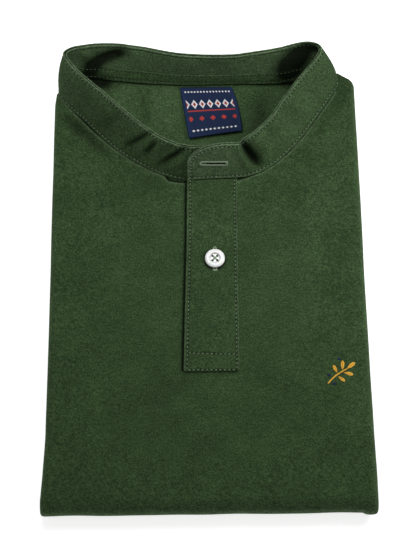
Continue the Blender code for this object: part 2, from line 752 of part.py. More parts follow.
def button_outline():
    """Half outline of the button, top to bottom down its outside."""
    mesh = bpy.data.meshes.new("chest_button")
    points = [(radius * MM, 0.0, height * MM) for radius, height in zip(*BUTTON_PROFILE.values())]
    edges = [(i, i + 1) for i in range(len(points) - 1)]
    mesh.from_pydata(points, edges, [])
    return mesh


def add_button(collection, cutters, material):
    """Four-hole button, turned from its outline, lying on the top placket."""
    button = bpy.data.objects.new("chest_button", button_outline())
    collection.objects.link(button)
    x, y = BUTTON_PLACE
    rest = PACKET_HEIGHT + float(front_lift(np.array(x), np.array(y)))
    rest += 2.0 * SEAM_GAP + PLACKET_TOP_WALL
    button.location = (x * MM, y * MM, rest * MM)
    turned = button.modifiers.new("Turn", "SCREW")
    turned.axis = "Z"
    turned.steps = BUTTON_STEPS
    turned.render_steps = BUTTON_STEPS
    turned.use_merge_vertices = True
    turned.merge_threshold = 0.00001
    mesh = bpy.data.meshes.new("button_hole")
    work = bmesh.new()
    bmesh.ops.create_cone(
        work, cap_ends=True, segments=HOLE_SIDES,
        radius1=BUTTON_HOLE_RADIUS * MM, radius2=BUTTON_HOLE_RADIUS * MM, depth=HOLE_CUT * MM,
    )
    work.to_mesh(mesh)
    work.free()
    for side, across in (("left", -1.0), ("right", 1.0)):
        for end, along in (("foot", -1.0), ("head", 1.0)):
            cutter = add_cutter("button_hole_" + side + "_" + end, mesh, cutters)
            cutter.location = (
                (x + across * BUTTON_HOLE_SPREAD) * MM,
                (y + along * BUTTON_HOLE_SPREAD) * MM,
                rest * MM,
            )
            cut_away(button, cutter)
    button.data.materials.append(material)
    return button


def build():
    """Make every piece of the folded shirt."""
    clear_scene()
    parts = make_collection("Folded band collar shirt")
    cutters = make_collection("Cutters")
    jersey = make_material("green_jersey", (0.030, 0.059, 0.022), 0.85)
    inside = make_material("green_jersey_inside", (0.037, 0.070, 0.029), 0.88)
    self_cloth = make_material("green_placket_cloth", (0.034, 0.064, 0.026), 0.85)
    woven = make_material("navy_woven_label", (0.010, 0.016, 0.055), 0.70)
    pearl = make_material("white_button", (0.80, 0.82, 0.80), 0.25)

    front = add_cloth("front_panel", front_panel_mesh(), parts, jersey)
    cut_away(front, placket_slit(cutters))
    add_cloth("folded_layers", folded_layers_mesh(), parts, jersey)
    add_cloth("back_panel", back_panel_mesh(), parts, inside)
    plies = (
        ("band_outer", BAND_PLY_GAP / 2, BAND_HALF, jersey),
        ("band_inner", -BAND_HALF, -BAND_PLY_GAP / 2, inside),
    )
    for name, inner_face, outer_face, cloth in plies:
        add_cloth(name, band_ply_mesh(inner_face, outer_face), parts, cloth)
    add_cloth("neck_tape", neck_tape_mesh(), parts, inside)
    add_cloth("placket_top", placket_top_mesh(), parts, self_cloth)
    add_cloth("placket_under", placket_under_mesh(), parts, self_cloth)
    add_cloth("neck_label", neck_label_mesh(), parts, woven)
    add_button(parts, cutters, pearl)


build()
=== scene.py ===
"""Looks of a folded band collar shirt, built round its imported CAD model.

Every piece of cloth is a fine surface worked out with numpy from the same named
sizes and tables as the CAD source, and the sewing, the buttonholes and the small
stitched leaf sprig are made of separate short threads.

Axes: +X to the right of the packet, +Y towards the collar, +Z up.  The tables and
sizes below are in millimetres, and MM turns them into metres for the meshes.
"""

import math

import bmesh
import bpy
import numpy as np
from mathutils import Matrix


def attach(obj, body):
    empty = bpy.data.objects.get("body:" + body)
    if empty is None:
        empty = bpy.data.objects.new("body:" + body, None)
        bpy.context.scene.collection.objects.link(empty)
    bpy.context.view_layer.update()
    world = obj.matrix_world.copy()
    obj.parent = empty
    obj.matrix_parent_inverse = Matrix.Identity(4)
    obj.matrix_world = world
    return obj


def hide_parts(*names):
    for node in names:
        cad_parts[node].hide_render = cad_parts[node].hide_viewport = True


bl_info = {
    "name": "Folded band collar shirt",
    "version": (1, 0, 0),
    "blender": (4, 5, 0),
    "location": "3D View > Sidebar > Shirt",
    "description": "Cloth, sewing and finish of a folded band collar shirt",
    "category": "Object",
}

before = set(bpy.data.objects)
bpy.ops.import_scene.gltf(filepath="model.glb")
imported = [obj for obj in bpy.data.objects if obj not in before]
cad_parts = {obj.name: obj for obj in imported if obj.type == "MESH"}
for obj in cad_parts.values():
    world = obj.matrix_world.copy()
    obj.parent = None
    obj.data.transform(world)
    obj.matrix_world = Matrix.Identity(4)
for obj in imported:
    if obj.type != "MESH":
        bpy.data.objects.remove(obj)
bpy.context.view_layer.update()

MM = 0.001


def table(columns, *rows):
    """A short table as named columns; its first column is the one it is read by."""
    return dict(zip(columns, np.array(rows).T))


# ------------------------------------------------------------ sizes of the shirt

SEAM_GAP = 0.3            # between two pieces at a seam

PACKET_HEIGHT = 18.6      # flat top of the packet, at the neck seam
PACKET_CROWN = 0.6        # how much the belly of the packet is puffed up
FOOT_FOLD_Y = -156.3      # where the top starts to turn round the cross fold
HEM_Y = 152.0             # hem of the lower front, on the underside
HEM_ROWS = (132.0, 126.0)                # its two rows of stitches
HEM_ROW_Z = 0.42          # height of their threads above the floor
HEM_REACH = 4.6           # from each side of the packet to their ends
HEM_PRESS = 0.35          # how far they draw the cloth up
FLANK_LEG = 1.0           # cloth tucked in at the middle of each side fold
FLANK_END_LEFT = 147.0    # where the left side fold stops behind the collar
CORNER_FILL = 2.2         # how far the foot's corners are pushed out
SHOULDER_DIP = 2.2        # fall of the right shoulder, which grows from
SHOULDER_DIP_X = (96.0, 104.0)           # here to here across the packet
SHOULDER_DIP_Y = (148.0, 160.0)          # and from here to here along it
CROWN_REACH = 98.0        # half width of the puffed belly,
CROWN_FOOT = 45.0         # the length over which it rises from the foot
CROWN_HEAD = (20.0, 66.0)                # and where it falls off to the neck
SEAM_SHOWN_TO = 98.0      # the neck seam shows up to the shoulder
FOLDS_REACH = 103.0       # the panel's soft folds reach this far out,
FOLDS_FADE = 8.0          # and fade over this width at the sides
FOLDS_FOOT = 20.0         # and over this length at the foot
CLOSER_AT_NECK = 1.5      # power that draws the front's rows to the neck

BAND_HEIGHT = 31.3
BAND_PLY_GAP = 0.3        # between the two plies
BAND_PLY = 1.0
BAND_CORNER = 26.0        # length of the rounded corner at each cut end,
BAND_CORNER_RISE = 0.42   # which starts at this share of the height
EDGE_ROW = 2.4            # stitches from the band's free edge
FOOT_ROW = 2.0            # and above the neck seam
LAP_REACH = 44.0          # length of the lap with the paler thread
KINK_DROP = 1.8           # how far the top edge sags where the lap bends
KINK_HALF = 2.6

BACK_FLOOR = 11.5         # inside face of the back panel, in its middle
BACK_SIDE = 16.4          # and at its sides, which rise from
BACK_SIDE_X = (84.0, 102.0)              # here to here
BACK_FRONT_EDGE = 60.0    # how far it runs in under the front panel
BACK_NEAR_SEAM = (22.0, 2.0)             # where it rises to the neck seam
BACK_SHOULDER_X = (97.0, 100.0)
BACK_SHOULDER_Y = 156.4
BACK_LEFT_SPREAD = 1.8    # how far it shows past the end of the left fold
BACK_WALL = 1.2
BEHIND_Y = 150.0          # the back of the neck lies beyond this

SLOT_LEFT, SLOT_RIGHT, SLOT_FOOT = -11.5, 19.0, -57.0
PLACKET_HEAD, PLACKET_FOOT = 74.7, -71.0
UNDER_HEAD = 73.8
UNDER_WALL = 1.3
UNDER_DROP = 0.75         # middle of the under placket below the front cloth
PLACKET_WALL = 1.2
PLACKET_CORNER = 1.6
PLACKET_ROW = 2.3         # stitches inside the open edge
PLACKET_FOLD_ROW = 1.8    # and inside the fold edge
BOX_ROWS = (-58.4, -70.0)                # cross rows of the box at its foot
BOX_SLANTS = (0.6, 0.35)                 # rise of each row's left end

TAPE_FROM, TAPE_TO = -97.0, 89.0
TAPE_LOW, TAPE_HIGH = 1.2, 11.8
TAPE_WALL = 1.0
TAPE_ROWS = (3.9, 10.4)
TAPE_HEIGHTS = (1.2, 1.35, 1.7, 2.2, 2.8, 3.4, 3.9, 4.4, 5.2, 6.2, 7.4, 8.6,
                9.4, 9.9, 10.4, 10.9, 11.4, 11.65, 11.8)

LABEL_WALL = 0.7
LABEL_ARCH = 0.5          # how far the label bows up across its free end

BUTTON_PLACE = (5.8, 11.1)
BUTTON_HOLE_RADIUS = 0.85
BUTTON_HOLE_SPREAD = 1.70                # of the holes, both ways from the middle
RECESS = 3.15             # radius of the button's flat recess
RECESS_HEIGHT = 1.5       # and its height above the button's underside

LAYER_PLY = 0.75          # one ply of the hidden layers
LAYER_BEHIND = 1.0        # their heads lie this far behind the back's edge
LAYER_INSET = 6.2         # and their sides this far inside the packet's
LAYER_FLOOR = 1.9         # middle of the lowest ply above the floor

# Worked out from the sizes above.
MIDDLE_Z = PACKET_HEIGHT / 2
HALF_GAP = SEAM_GAP / 2
FLANK_RADIUS = (MIDDLE_Z - HALF_GAP) / 2
FLANK_CENTRE = HALF_GAP + FLANK_RADIUS
BAND_HALF = BAND_PLY + BAND_PLY_GAP / 2
BAND_LOW = BAND_HEIGHT * BAND_CORNER_RISE
RAIL_STEP = 0.004

# ------------------------------------------------------------ tables

# Outline of the packet: where its side folds stand at each y.
SIDES = table(
    ("y", "left", "right"),
    (150.0, -109.2, 111.2),
    (138.0, -110.5, 111.2),
    (60.0, -110.1, 111.0),
    (-15.0, -109.4, 110.3),
    (-90.0, -109.1, 110.4),
    (-115.0, -109.2, 110.5),
    (-142.0, -110.3, 110.8),
    (-157.0, -111.2, 110.6),
)

# Neck edge and right shoulder of the front panel, from left to right.
NECK_EDGE = table(
    ("x", "y"),
    (-105.4, 146.8),
    (-102.3, 141.7),
    (-93.8, 131.4),
    (-80.2, 116.4),
    (-65.6, 102.4),
    (-49.6, 90.4),
    (-38.1, 83.8),
    (-27.2, 78.8),
    (-25.6, 75.2),
    (-19.0, 74.0),
    (-11.6, 73.6),
    (19.1, 74.6),
    (28.2, 77.2),
    (39.9, 81.8),
    (50.7, 89.2),
    (60.3, 98.4),
    (68.9, 108.7),
    (80.3, 125.2),
    (91.5, 142.1),
    (94.9, 147.9),
    (96.6, 153.0),
    (98.4, 155.6),
    (98.7, 161.2),
    (101.9, 160.2),
    (104.7, 158.5),
    (107.5, 156.3),
    (109.7, 154.0),
    (110.9, 151.0),
)

# Sections of the stand collar, from its under end at the centre front, round the
# left side and the back, to the lap end: foot, lean and bow at half height.
BAND_SECTIONS = table(
    ("x", "y", "z", "lean_x", "lean_y", "bow"),
    (19.0, 76.6, 16.1, 0.0, 11.8, 0.0),
    (4.0, 76.0, 16.1, 0.5, 11.8, 0.0),
    (-13.3, 75.4, 16.3, 1.6, 11.6, 0.0),
    (-26.4, 77.2, 18.9, 3.6, 12.0, 0.0),
    (-38.6, 82.6, 18.9, 5.6, 12.2, 0.0),
    (-66.3, 101.4, 18.9, 11.0, 13.2, 0.0),
    (-94.7, 130.6, 18.9, 11.6, 10.4, 0.5),
    (-106.4, 146.6, 18.9, 8.6, 10.2, 2.2),
    (-105.4, 152.6, 17.6, 4.8, 9.8, 2.4),
    (-100.6, 157.2, 16.2, 2.7, 9.4, 1.5),
    (-88.6, 161.4, 14.4, 1.8, 9.3, 0.5),
    (-68.3, 160.5, 13.8, 1.6, 12.4, 0.0),
    (-20.9, 156.4, 13.8, 0.1, 7.0, 0.0),
    (33.4, 156.4, 13.8, -0.3, 6.3, 0.0),
    (60.6, 156.8, 14.1, -2.5, 11.6, 0.0),
    (87.6, 159.0, 16.2, -8.0, 11.4, 1.5),
    (97.8, 154.0, 18.9, -13.6, 10.9, 2.3),
    (92.6, 141.5, 18.9, -16.8, 11.0, 1.0),
    (69.8, 108.0, 18.9, -16.4, 13.6, 0.5),
    (51.5, 88.3, 18.9, -11.6, 14.9, 0.5),
    (40.5, 80.8, 18.9, -9.3, 14.9, 0.0),
    (28.2, 76.2, 19.6, -5.2, 12.2, 0.0),
    (19.0, 75.1, 20.6, -1.5, 11.8, 0.0),
    (7.9, 74.7, 20.6, 0.0, 11.6, 0.0),
    (-12.9, 74.0, 20.6, 0.0, 11.6, 0.0),
)

# Soft folds of the front panel: a line from one end to the other, its half width
# and its depth (a ridge where the depth is negative).
PANEL_FOLDS = table(
    ("from_x", "from_y", "to_x", "to_y", "half_width", "depth"),
    (-103.0, 128.0, -66.0, 90.0, 5.0, 1.3),
    (-92.0, 111.0, -60.0, 84.0, 7.0, -0.5),
    (104.0, 146.0, 78.0, 107.0, 5.0, 0.9),
    (104.0, 128.0, 86.0, 98.0, 8.0, -0.5),
    (-30.0, 66.0, -70.0, 60.0, 9.0, 0.4),
    (36.0, 62.0, 74.0, 70.0, 9.0, 0.4),
    (99.0, 139.0, 72.0, 102.0, 2.4, -0.5),
    (-58.0, 84.0, -30.0, 68.0, 5.0, 0.35),
    (56.0, 84.0, 88.0, 92.0, 7.0, 0.3),
    (-96.0, 60.0, -84.0, -20.0, 9.0, 0.25),
    (88.0, 40.0, 97.0, -40.0, 10.0, 0.25),
    (30.0, -76.0, 66.0, -88.0, 8.0, 0.2),
    (-14.0, -80.0, -62.0, -96.0, 9.0, 0.25),
)

# Creases of the band: distance along the seam from the lap end and height above
# the seam, at both ends, with half width and depth.
BAND_CREASES = table(
    ("from_s", "from_up", "to_s", "to_up", "half_width", "depth"),
    (45.5, 27.0, 53.5, 6.0, 3.2, 6.0),
    (37.5, 33.0, 45.0, 8.0, 3.4, -1.2),
    (57.0, 31.0, 64.0, 9.5, 5.0, -1.0),
    (70.0, 32.0, 78.0, 16.0, 3.5, 0.7),
    (449.0, 30.0, 432.0, 8.0, 1.9, 1.5),
    (453.5, 28.0, 443.5, 6.0, 2.2, -1.8),
    (457.0, 25.5, 450.0, 12.0, 1.8, 1.4),
    (481.0, 30.5, 463.0, 10.0, 2.0, 1.6),
    (485.5, 27.0, 470.0, 8.0, 2.6, -1.0),
    (493.0, 30.0, 487.0, 13.0, 3.0, 0.9),
    (470.0, 29.0, 459.0, 15.0, 2.4, 0.7),
    (420.0, 33.0, 412.0, 12.0, 5.0, 0.6),
    (398.0, 33.0, 392.0, 15.0, 5.0, 0.5),
    (96.0, 32.0, 104.0, 12.0, 6.0, 0.6),
    (120.0, 30.0, 128.0, 12.0, 4.0, 0.5),
    (328.0, 17.0, 311.0, 25.0, 4.0, -3.8),
    (340.0, 27.0, 331.0, 19.0, 4.0, 1.5),
    (300.0, 31.0, 306.0, 16.0, 6.0, 0.7),
    (157.0, 26.0, 178.0, 23.0, 4.0, -2.0),
    (222.0, 32.0, 230.0, 17.0, 9.0, 0.4),
    (270.0, 32.0, 262.0, 16.0, 9.0, 0.4),
)

# Where the two faces of the band lie in the shade of their deepest creases, in the
# same terms, with the strength of the shade.
OUTER_SHADE = table(
    ("from_s", "from_up", "to_s", "to_up", "half_width", "depth"),
    (44.6, 33.0, 54.0, 6.0, 3.0, 1.4),
    (49.0, 29.0, 57.0, 9.0, 4.5, 0.5),
    (450.0, 31.0, 432.0, 7.0, 2.2, 0.9),
    (456.5, 26.0, 449.5, 12.0, 2.2, 0.8),
    (482.0, 32.0, 462.0, 9.0, 3.0, 1.0),
    (491.0, 31.0, 487.0, 10.0, 3.5, 0.5),
    (420.0, 30.0, 408.0, 8.0, 6.0, 0.2),
    (432.0, 15.0, 352.0, 15.0, 17.0, 0.3),
)
INNER_SHADE = table(
    ("from_s", "from_up", "to_s", "to_up", "half_width", "depth"),
    (340.0, -2.0, 328.0, 17.0, 5.5, 1.5),
    (332.0, 14.0, 307.0, 26.0, 4.5, 1.5),
    (342.0, 2.0, 320.0, 1.0, 4.0, 1.0),
    (153.0, 29.0, 181.0, 24.0, 5.0, 1.5),
    (168.0, 26.0, 184.0, 8.0, 7.0, 1.5),
    (186.0, 24.0, 188.0, 4.0, 8.0, 1.3),
)

# Pulls and puckers of the back panel, seen through the neck.
BACK_FOLDS = table(
    ("from_x", "from_y", "to_x", "to_y", "half_width", "depth"),
    (-70.0, 157.0, -64.0, 136.0, 4.0, -1.6),
    (-80.0, 150.0, -72.0, 126.0, 5.0, 0.9),
    (-52.0, 154.0, -46.0, 132.0, 6.0, 0.7),
    (46.0, 152.0, 42.0, 126.0, 7.0, 0.6),
    (64.0, 152.0, 58.0, 120.0, 5.0, -0.7),
    (-34.0, 148.0, -30.0, 112.0, 8.0, -0.5),
)

# Corners of the back panel that lie in the shade under the tape's ends.
BACK_SHADE = table(
    ("from_x", "from_y", "to_x", "to_y", "half_width", "depth"),
    (-90.0, 156.0, -68.0, 157.0, 4.5, 1.2),
    (-92.0, 150.0, -80.0, 138.0, 5.0, 0.8),
    (56.0, 157.0, 84.0, 150.0, 4.5, 0.9),
    (-46.0, 150.0, -42.0, 120.0, 5.0, 0.35),
    (40.0, 150.0, 44.0, 116.0, 6.0, 0.35),
    (36.0, 120.0, 56.0, 96.0, 7.0, 0.45),
)

# Open edge and fold edge of the top placket.
PLACKET_EDGES = table(
    ("y", "open_x", "fold_x"),
    (74.7, -13.2, 22.6),
    (26.0, -13.8, 21.9),
    (-26.0, -15.3, 21.6),
    (-71.0, -16.5, 21.4),
)

# Soft unevenness of the top placket, in the same terms as the panel's folds.
PLACKET_FOLDS = table(
    ("from_x", "from_y", "to_x", "to_y", "half_width", "depth"),
    (-10.0, 62.0, -9.0, 30.0, 3.5, 0.25),
    (14.0, 54.0, 15.0, 22.0, 3.5, 0.22),
    (-11.0, 4.0, -12.0, -40.0, 3.5, 0.25),
    (15.0, -6.0, 14.0, -46.0, 3.5, 0.22),
    (1.0, 44.0, 3.0, 26.0, 4.0, -0.2),
    (2.0, -2.0, 1.0, -50.0, 5.0, -0.2),
)

# Neck label: its left edge, its right edge and its height above the floor.
LABEL_SHEET = table(
    ("share", "left_x", "left_y", "right_x", "right_y", "z"),
    (0.0, -18.2, 152.4, 20.4, 152.4, 14.9),
    (0.25, -16.8, 142.0, 23.4, 143.0, 13.9),
    (0.55, -14.6, 128.5, 26.0, 131.0, 13.6),
    (0.85, -12.8, 116.0, 27.2, 120.5, 14.1),
    (1.0, -11.8, 109.4, 27.4, 115.5, 14.8),
)

# Turned outline of the button: radius and height, from the recess to the rim.
BUTTON_PROFILE = table(
    ("radius", "height"),
    (3.15, 1.50),
    (3.25, 1.36),
    (3.45, 1.24),
    (3.66, 1.36),
    (3.74, 1.75),
    (3.84, 2.22),
    (4.05, 2.44),
    (4.5, 2.50),
    (5.0, 2.60),
    (5.6, 2.56),
    (6.1, 2.38),
    (6.5, 2.08),
    (6.85, 1.65),
    (7.0, 1.25),
    (6.9, 0.85),
    (6.5, 0.42),
    (5.8, 0.12),
    (4.8, 0.0),
    (3.15, 0.0),
)

# Folded edges at the collar end of the hidden layers, from the floor up.
LAYERS = table(
    ("share", "set_back"),
    (0.10, 1.6),
    (0.30, 0.4),
    (0.50, 2.6),
    (0.70, 1.2),
    (0.90, 0.0),
)

# Leaf sprig stitched on the chest: the middle of each leaf, the way it points,
# its length and its width.
SPRIG_PLACE = (89.6, -72.6)
SPRIG_LEAVES = table(
    ("x", "y", "angle", "length", "width"),
    (7.4, 5.2, 38.0, 7.0, 2.7),
    (1.6, 5.6, 86.0, 6.2, 2.5),
    (5.6, -0.6, -14.0, 6.2, 2.5),
    (-3.6, 3.0, 112.0, 5.6, 2.3),
    (0.6, -4.4, -40.0, 5.4, 2.2),
)
SPRIG_STEM = table(
    ("x", "y"),
    (-9.0, -7.6),
    (-6.4, -4.6),
    (-3.0, -1.6),
    (0.8, 0.8),
    (4.4, 2.8),
)
SPRIG_BERRIES = ((-7.9, -1.4), (-4.6, -7.6), (-0.6, 9.9))

# Pressed and puffed profiles: middle, half width and height of each soft bump, over
# the distance from an edge or a row of stitches.
NECK_SEAM_PROFILE = ((3.4, 1.2, 0.5), (1.2, 1.1, -0.8))
BAND_EDGE_PROFILE = ((0.9, 0.8, 0.46), (EDGE_ROW, 0.55, -0.30), (4.4, 1.2, 0.14))
BAND_FOOT_PROFILE = ((0.9, 0.5, 0.20), (FOOT_ROW, 0.5, -0.28))
PLACKET_ROW_PROFILE = ((2.0, 1.3, 0.16), (0.0, 0.6, -0.30))

# Puckers along the seams: pitch, seed of their unevenness, height and reach.
NECK_PUCKERS = (8.5, 1.3, 0.24, 7.0)
BAND_EDGE_PUCKERS = (7.5, 0.4, 0.13, 2.6)
BAND_FOOT_PUCKERS = (9.0, 2.9, 0.12, 2.6)
PLACKET_PUCKERS = (8.0, 0.6, 0.14, 2.4)
BACK_PUCKERS = (17.0, 0.9, 0.35, 9.0)

# ------------------------------------------------------------ mesh detail

FRONT_STEP = 2.2          # spacing of the front cloth's grid
TURN_STEPS = 22           # round the cross fold
FLANK_STEPS = 14          # round each side fold
BAND_STEP = 1.5           # along the band and its rows of stitches
THREAD_RINGS = np.array((0.004, 0.10, 0.30, 0.50, 0.70, 0.90, 0.996))
THREAD_SIDES = 6
FAR = 1000.0              # further than any distance on the shirt


# ------------------------------------------------------------ plain helpers


def look_up(rows, name, where):
    """Value of a table's column, straight between the rows."""
    lead = next(iter(rows.values()))
    order = np.argsort(lead)
    return np.interp(where, lead[order], rows[name][order])


def smooth(value, low, high):
    """Soft step from 0 at low to 1 at high: 3 s^2 - 2 s^3."""
    share = np.clip((value - low) / (high - low), 0.0, 1.0)
    return share * share * (3.0 - 2.0 * share)


def bell(value, middle, half_width):
    """Soft bump of height 1: exp(-((value - middle) / half_width)^2)."""
    return np.exp(-((value - middle) / half_width) ** 2)


def bells(value, profile):
    """Sum of soft bumps, given by rows of middle, half width and height."""
    return sum(height * bell(value, middle, half_width) for middle, half_width, height in profile)


def uneven_wave(run, pitch, seed):
    """Uneven wave from -1 to 1: three sines whose lengths share no common beat."""
    turn = 2.0 * np.pi * run / pitch
    wave = np.sin(turn + seed) + 0.7 * np.sin(turn / 1.63 + 2.1 * seed)
    return (wave + 0.5 * np.sin(turn / 0.61 + 3.7 * seed)) / 2.2


def puckers(run, away, pitch, seed, height, reach):
    """Uneven puckers along a seam, which die out as exp(-away / reach)."""
    return height * uneven_wave(run, pitch, seed) * np.exp(-away / reach)


def run_along(line):
    """Distance along a bent line from its start to each of its points."""
    return np.concatenate(([0.0], np.cumsum(np.linalg.norm(np.diff(line, axis=0), axis=1))))


def unit_rows(vectors):
    """The same directions at length 1, one in each row."""
    return vectors / np.linalg.norm(vectors, axis=1, keepdims=True)


def natural_spline(knots, values, at):
    """Natural cubic curve through values at knots, read at the given places."""
    steps = np.diff(knots)
    count = len(knots)
    matrix = np.eye(count)
    right = np.zeros(values.shape)
    middle = np.arange(1, count - 1)
    matrix[middle, middle - 1] = steps[:-1]
    matrix[middle, middle] = 2.0 * (steps[:-1] + steps[1:])
    matrix[middle, middle + 1] = steps[1:]
    slopes = np.diff(values, axis=0) / steps[:, None]
    right[middle] = 6.0 * np.diff(slopes, axis=0)
    bend = np.linalg.solve(matrix, right)
    cell = np.clip(np.searchsorted(knots, at, side="right") - 1, 0, count - 2)
    span = steps[cell][:, None]
    after = (at - knots[cell])[:, None]
    before = (knots[cell + 1] - at)[:, None]
    curved = (bend[cell] * before ** 3 + bend[cell + 1] * after ** 3) / (6.0 * span)
    start = (values[cell] / span - bend[cell] * span / 6.0) * before
    finish = (values[cell + 1] / span - bend[cell + 1] * span / 6.0) * after
    return curved + start + finish


def fold_depth(x, y, rows):
    """Depth of soft folds: a round-ended trough along each row's line.

    The depth falls off as exp(-(distance / half width)^2) and is 0.4 of its full
    value at both ends of the line.
    """
    total = np.zeros(np.broadcast(x, y).shape)
    for x0, y0, x1, y1, half_width, depth in zip(*rows.values()):
        run_x, run_y = x1 - x0, y1 - y0
        along = ((x - x0) * run_x + (y - y0) * run_y) / (run_x ** 2 + run_y ** 2)
        near = np.clip(along, 0.0, 1.0)
        away = np.hypot(x - x0 - near * run_x, y - y0 - near * run_y)
        fade = 1.0 - 0.6 * np.abs(2.0 * near - 1.0) ** 3
        total = total + depth * fade * bell(away, 0.0, half_width)
    return total


def nearest_on_line(points, line):
    """Distance from each point to a bent line, and the run along it to there.

    Each point is dropped on every straight part, clipped to its ends, and the
    nearest of these feet is kept.
    """
    best, place = np.full(len(points), FAR), np.zeros(len(points))
    run = run_along(line)
    for first, part, before, length in zip(line, np.diff(line, axis=0), run, np.diff(run)):
        share = np.clip((points - first) @ part / length ** 2, 0.0, 1.0)
        away = np.linalg.norm(points - first - share[:, None] * part, axis=1)
        closer = away < best
        best = np.where(closer, away, best)
        place = np.where(closer, before + share * length, place)
    return best, place


# ------------------------------------------------------------ meshes


def numbering(shape):
    """Numbers of the points of a grid, in its own rows and columns."""
    return np.arange(shape[0] * shape[1]).reshape(shape[:2])


def quads(number):
    """Faces of a grid of point numbers, their normals on the side of du x dv."""
    ring = (number[:-1, :-1], number[1:, :-1], number[1:, 1:], number[:-1, 1:])
    return np.stack(ring, axis=-1).reshape(-1, 4)


def grid_normals(points):
    """Unit normals of a grid of points: the cross product of its two directions."""
    normals = np.cross(np.gradient(points, axis=0), np.gradient(points, axis=1))
    return normals / np.maximum(np.linalg.norm(normals, axis=2, keepdims=True), 1e-9)


def reach_to_rim(points, axis):
    """Distance along the grid lines of one direction to the nearer of its rims."""
    steps = np.linalg.norm(np.diff(points, axis=axis), axis=2)
    pad = [(0, 0), (0, 0)]
    pad[axis] = (1, 0)
    run = np.pad(np.cumsum(steps, axis=axis), pad)
    return np.minimum(run, run.max(axis=axis, keepdims=True) - run)


def sheet_skin(middle, wall, rim):
    """Closed skin of a sheet with rounded rims.

    Both faces stand half a wall off the middle grid along its normal, times
    sqrt(1 - (1 - d)^2) with d the distance to the nearest edge over rim, so they
    meet at the edges.  Gives points, faces and each point's place in the grid.
    """
    near = np.minimum(reach_to_rim(middle, 0), reach_to_rim(middle, 1))
    share = np.clip(near / rim, 0.0, 1.0)
    swell = (0.5 * wall * np.sqrt(1.0 - (1.0 - share) ** 2))[..., None] * grid_normals(middle)
    number = numbering(middle.shape)
    inside = number[1:-1, 1:-1].ravel()
    other = number.copy()
    other.ravel()[inside] = number.size + np.arange(len(inside))
    points = np.concatenate((
        (middle + swell).reshape(-1, 3),
        (middle - swell).reshape(-1, 3)[inside],
    ))
    faces = np.concatenate((quads(number), quads(other)[:, ::-1]))
    return points, faces, np.concatenate((number.ravel(), inside))


def thread_skin(starts, ends, ups, width, lift):
    """Many short threads as one skin of tubes.

    Ring centre = start + (end - start) s + up lift (1 - t^2), with t = 2 s - 1;
    ring point = centre + (side cos a + 0.8 up sin a) (width / 2) sqrt(1 - t^6).
    """
    starts, ends, ups = (np.asarray(part, float) for part in (starts, ends, ups))
    along = ends - starts
    side = unit_rows(np.cross(along, ups))
    swing = 2.0 * THREAD_RINGS - 1.0
    turn = 2.0 * np.pi * np.arange(THREAD_SIDES) / THREAD_SIDES
    middle = starts[:, None] + along[:, None] * THREAD_RINGS[:, None]
    middle = middle + ups[:, None] * (lift * (1.0 - swing ** 2))[:, None]
    girth = 0.5 * width * np.sqrt(1.0 - swing ** 6)
    ring = side[:, None] * np.cos(turn)[:, None] + 0.8 * ups[:, None] * np.sin(turn)[:, None]
    points = middle[:, :, None] + ring[:, None] * girth[:, None, None]
    count, rings, sides = points.shape[:3]
    number = np.arange(count * rings * sides).reshape(count, rings, sides)
    around = np.concatenate((number, number[:, :, :1]), axis=2)
    corners = (around[:, :-1, :-1], around[:, 1:, :-1], around[:, 1:, 1:], around[:, :-1, 1:])
    faces = np.stack(corners, axis=-1).reshape(-1, 4).tolist()
    faces += number[:, 0].tolist() + number[:, -1, ::-1].tolist()
    run = np.linalg.norm(along, axis=1)[:, None, None] * THREAD_RINGS[:, None]
    cover = np.stack(np.broadcast_arrays(run, turn / (2.0 * np.pi)), axis=-1)
    return points.reshape(-1, 3), faces, cover.reshape(-1, 2)


def new_piece(name, points, faces, material, cover=None, marks=None, replaces=()):
    """A mesh object of the shirt from points in millimetres, riding on its body.

    cover gives each point its place in the piece's own UV map, and marks its
    named values, which the materials read.
    """
    mesh = bpy.data.meshes.new(name)
    faces = faces.tolist() if isinstance(faces, np.ndarray) else faces
    mesh.from_pydata((np.asarray(points) * MM).tolist(), [], faces)
    if cover is not None:
        corner = np.zeros(len(mesh.loops), np.int32)
        mesh.loops.foreach_get("vertex_index", corner)
        layer = mesh.uv_layers.new(name="cover")
        layer.data.foreach_set("uv", np.asarray(cover, np.float32)[corner].ravel())
    for mark, values in (marks or {}).items():
        attribute = mesh.attributes.new(mark, "FLOAT", "POINT")
        attribute.data.foreach_set("value", np.asarray(values, np.float32).ravel())
    mesh.shade_smooth()
    mesh.materials.append(material)
    piece = bpy.data.objects.new(name, mesh)
    bpy.context.scene.collection.objects.link(piece)
    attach(piece, "root")
    if replaces:
        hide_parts(*replaces)
    return piece


def stitch_marks(points, rows):
    """Distance to the nearest row of stitches and the run along it, at each point."""
    off, run = np.full(len(points), FAR), np.zeros(len(points))
    for row in rows:
        away, place = nearest_on_line(points, row)
        closer = away < off
        off, run = np.where(closer, away, off), np.where(closer, place, run)
    return {"stitch_off": off, "stitch_run": run}


def stitches_on(line, ups, pitch, length):
    """Starts, ends and ups of the stitches along a line, one in each pitch."""
    run = run_along(line)
    middle = (np.arange(int(run[-1] / pitch)) + 0.5) * pitch

    def read(values, where):
        return np.column_stack([np.interp(where, run, values[:, axis]) for axis in range(3)])

    half = 0.5 * length
    return read(line, middle - half), read(line, middle + half), unit_rows(read(ups, middle))


# ------------------------------------------------------------ front panel

NECK_LINE = np.column_stack(tuple(NECK_EDGE.values()))


def shoulder_dip(x, y):
    """How far the right shoulder falls away behind the neck."""
    return SHOULDER_DIP * smooth(x, *SHOULDER_DIP_X) * smooth(y, *SHOULDER_DIP_Y)


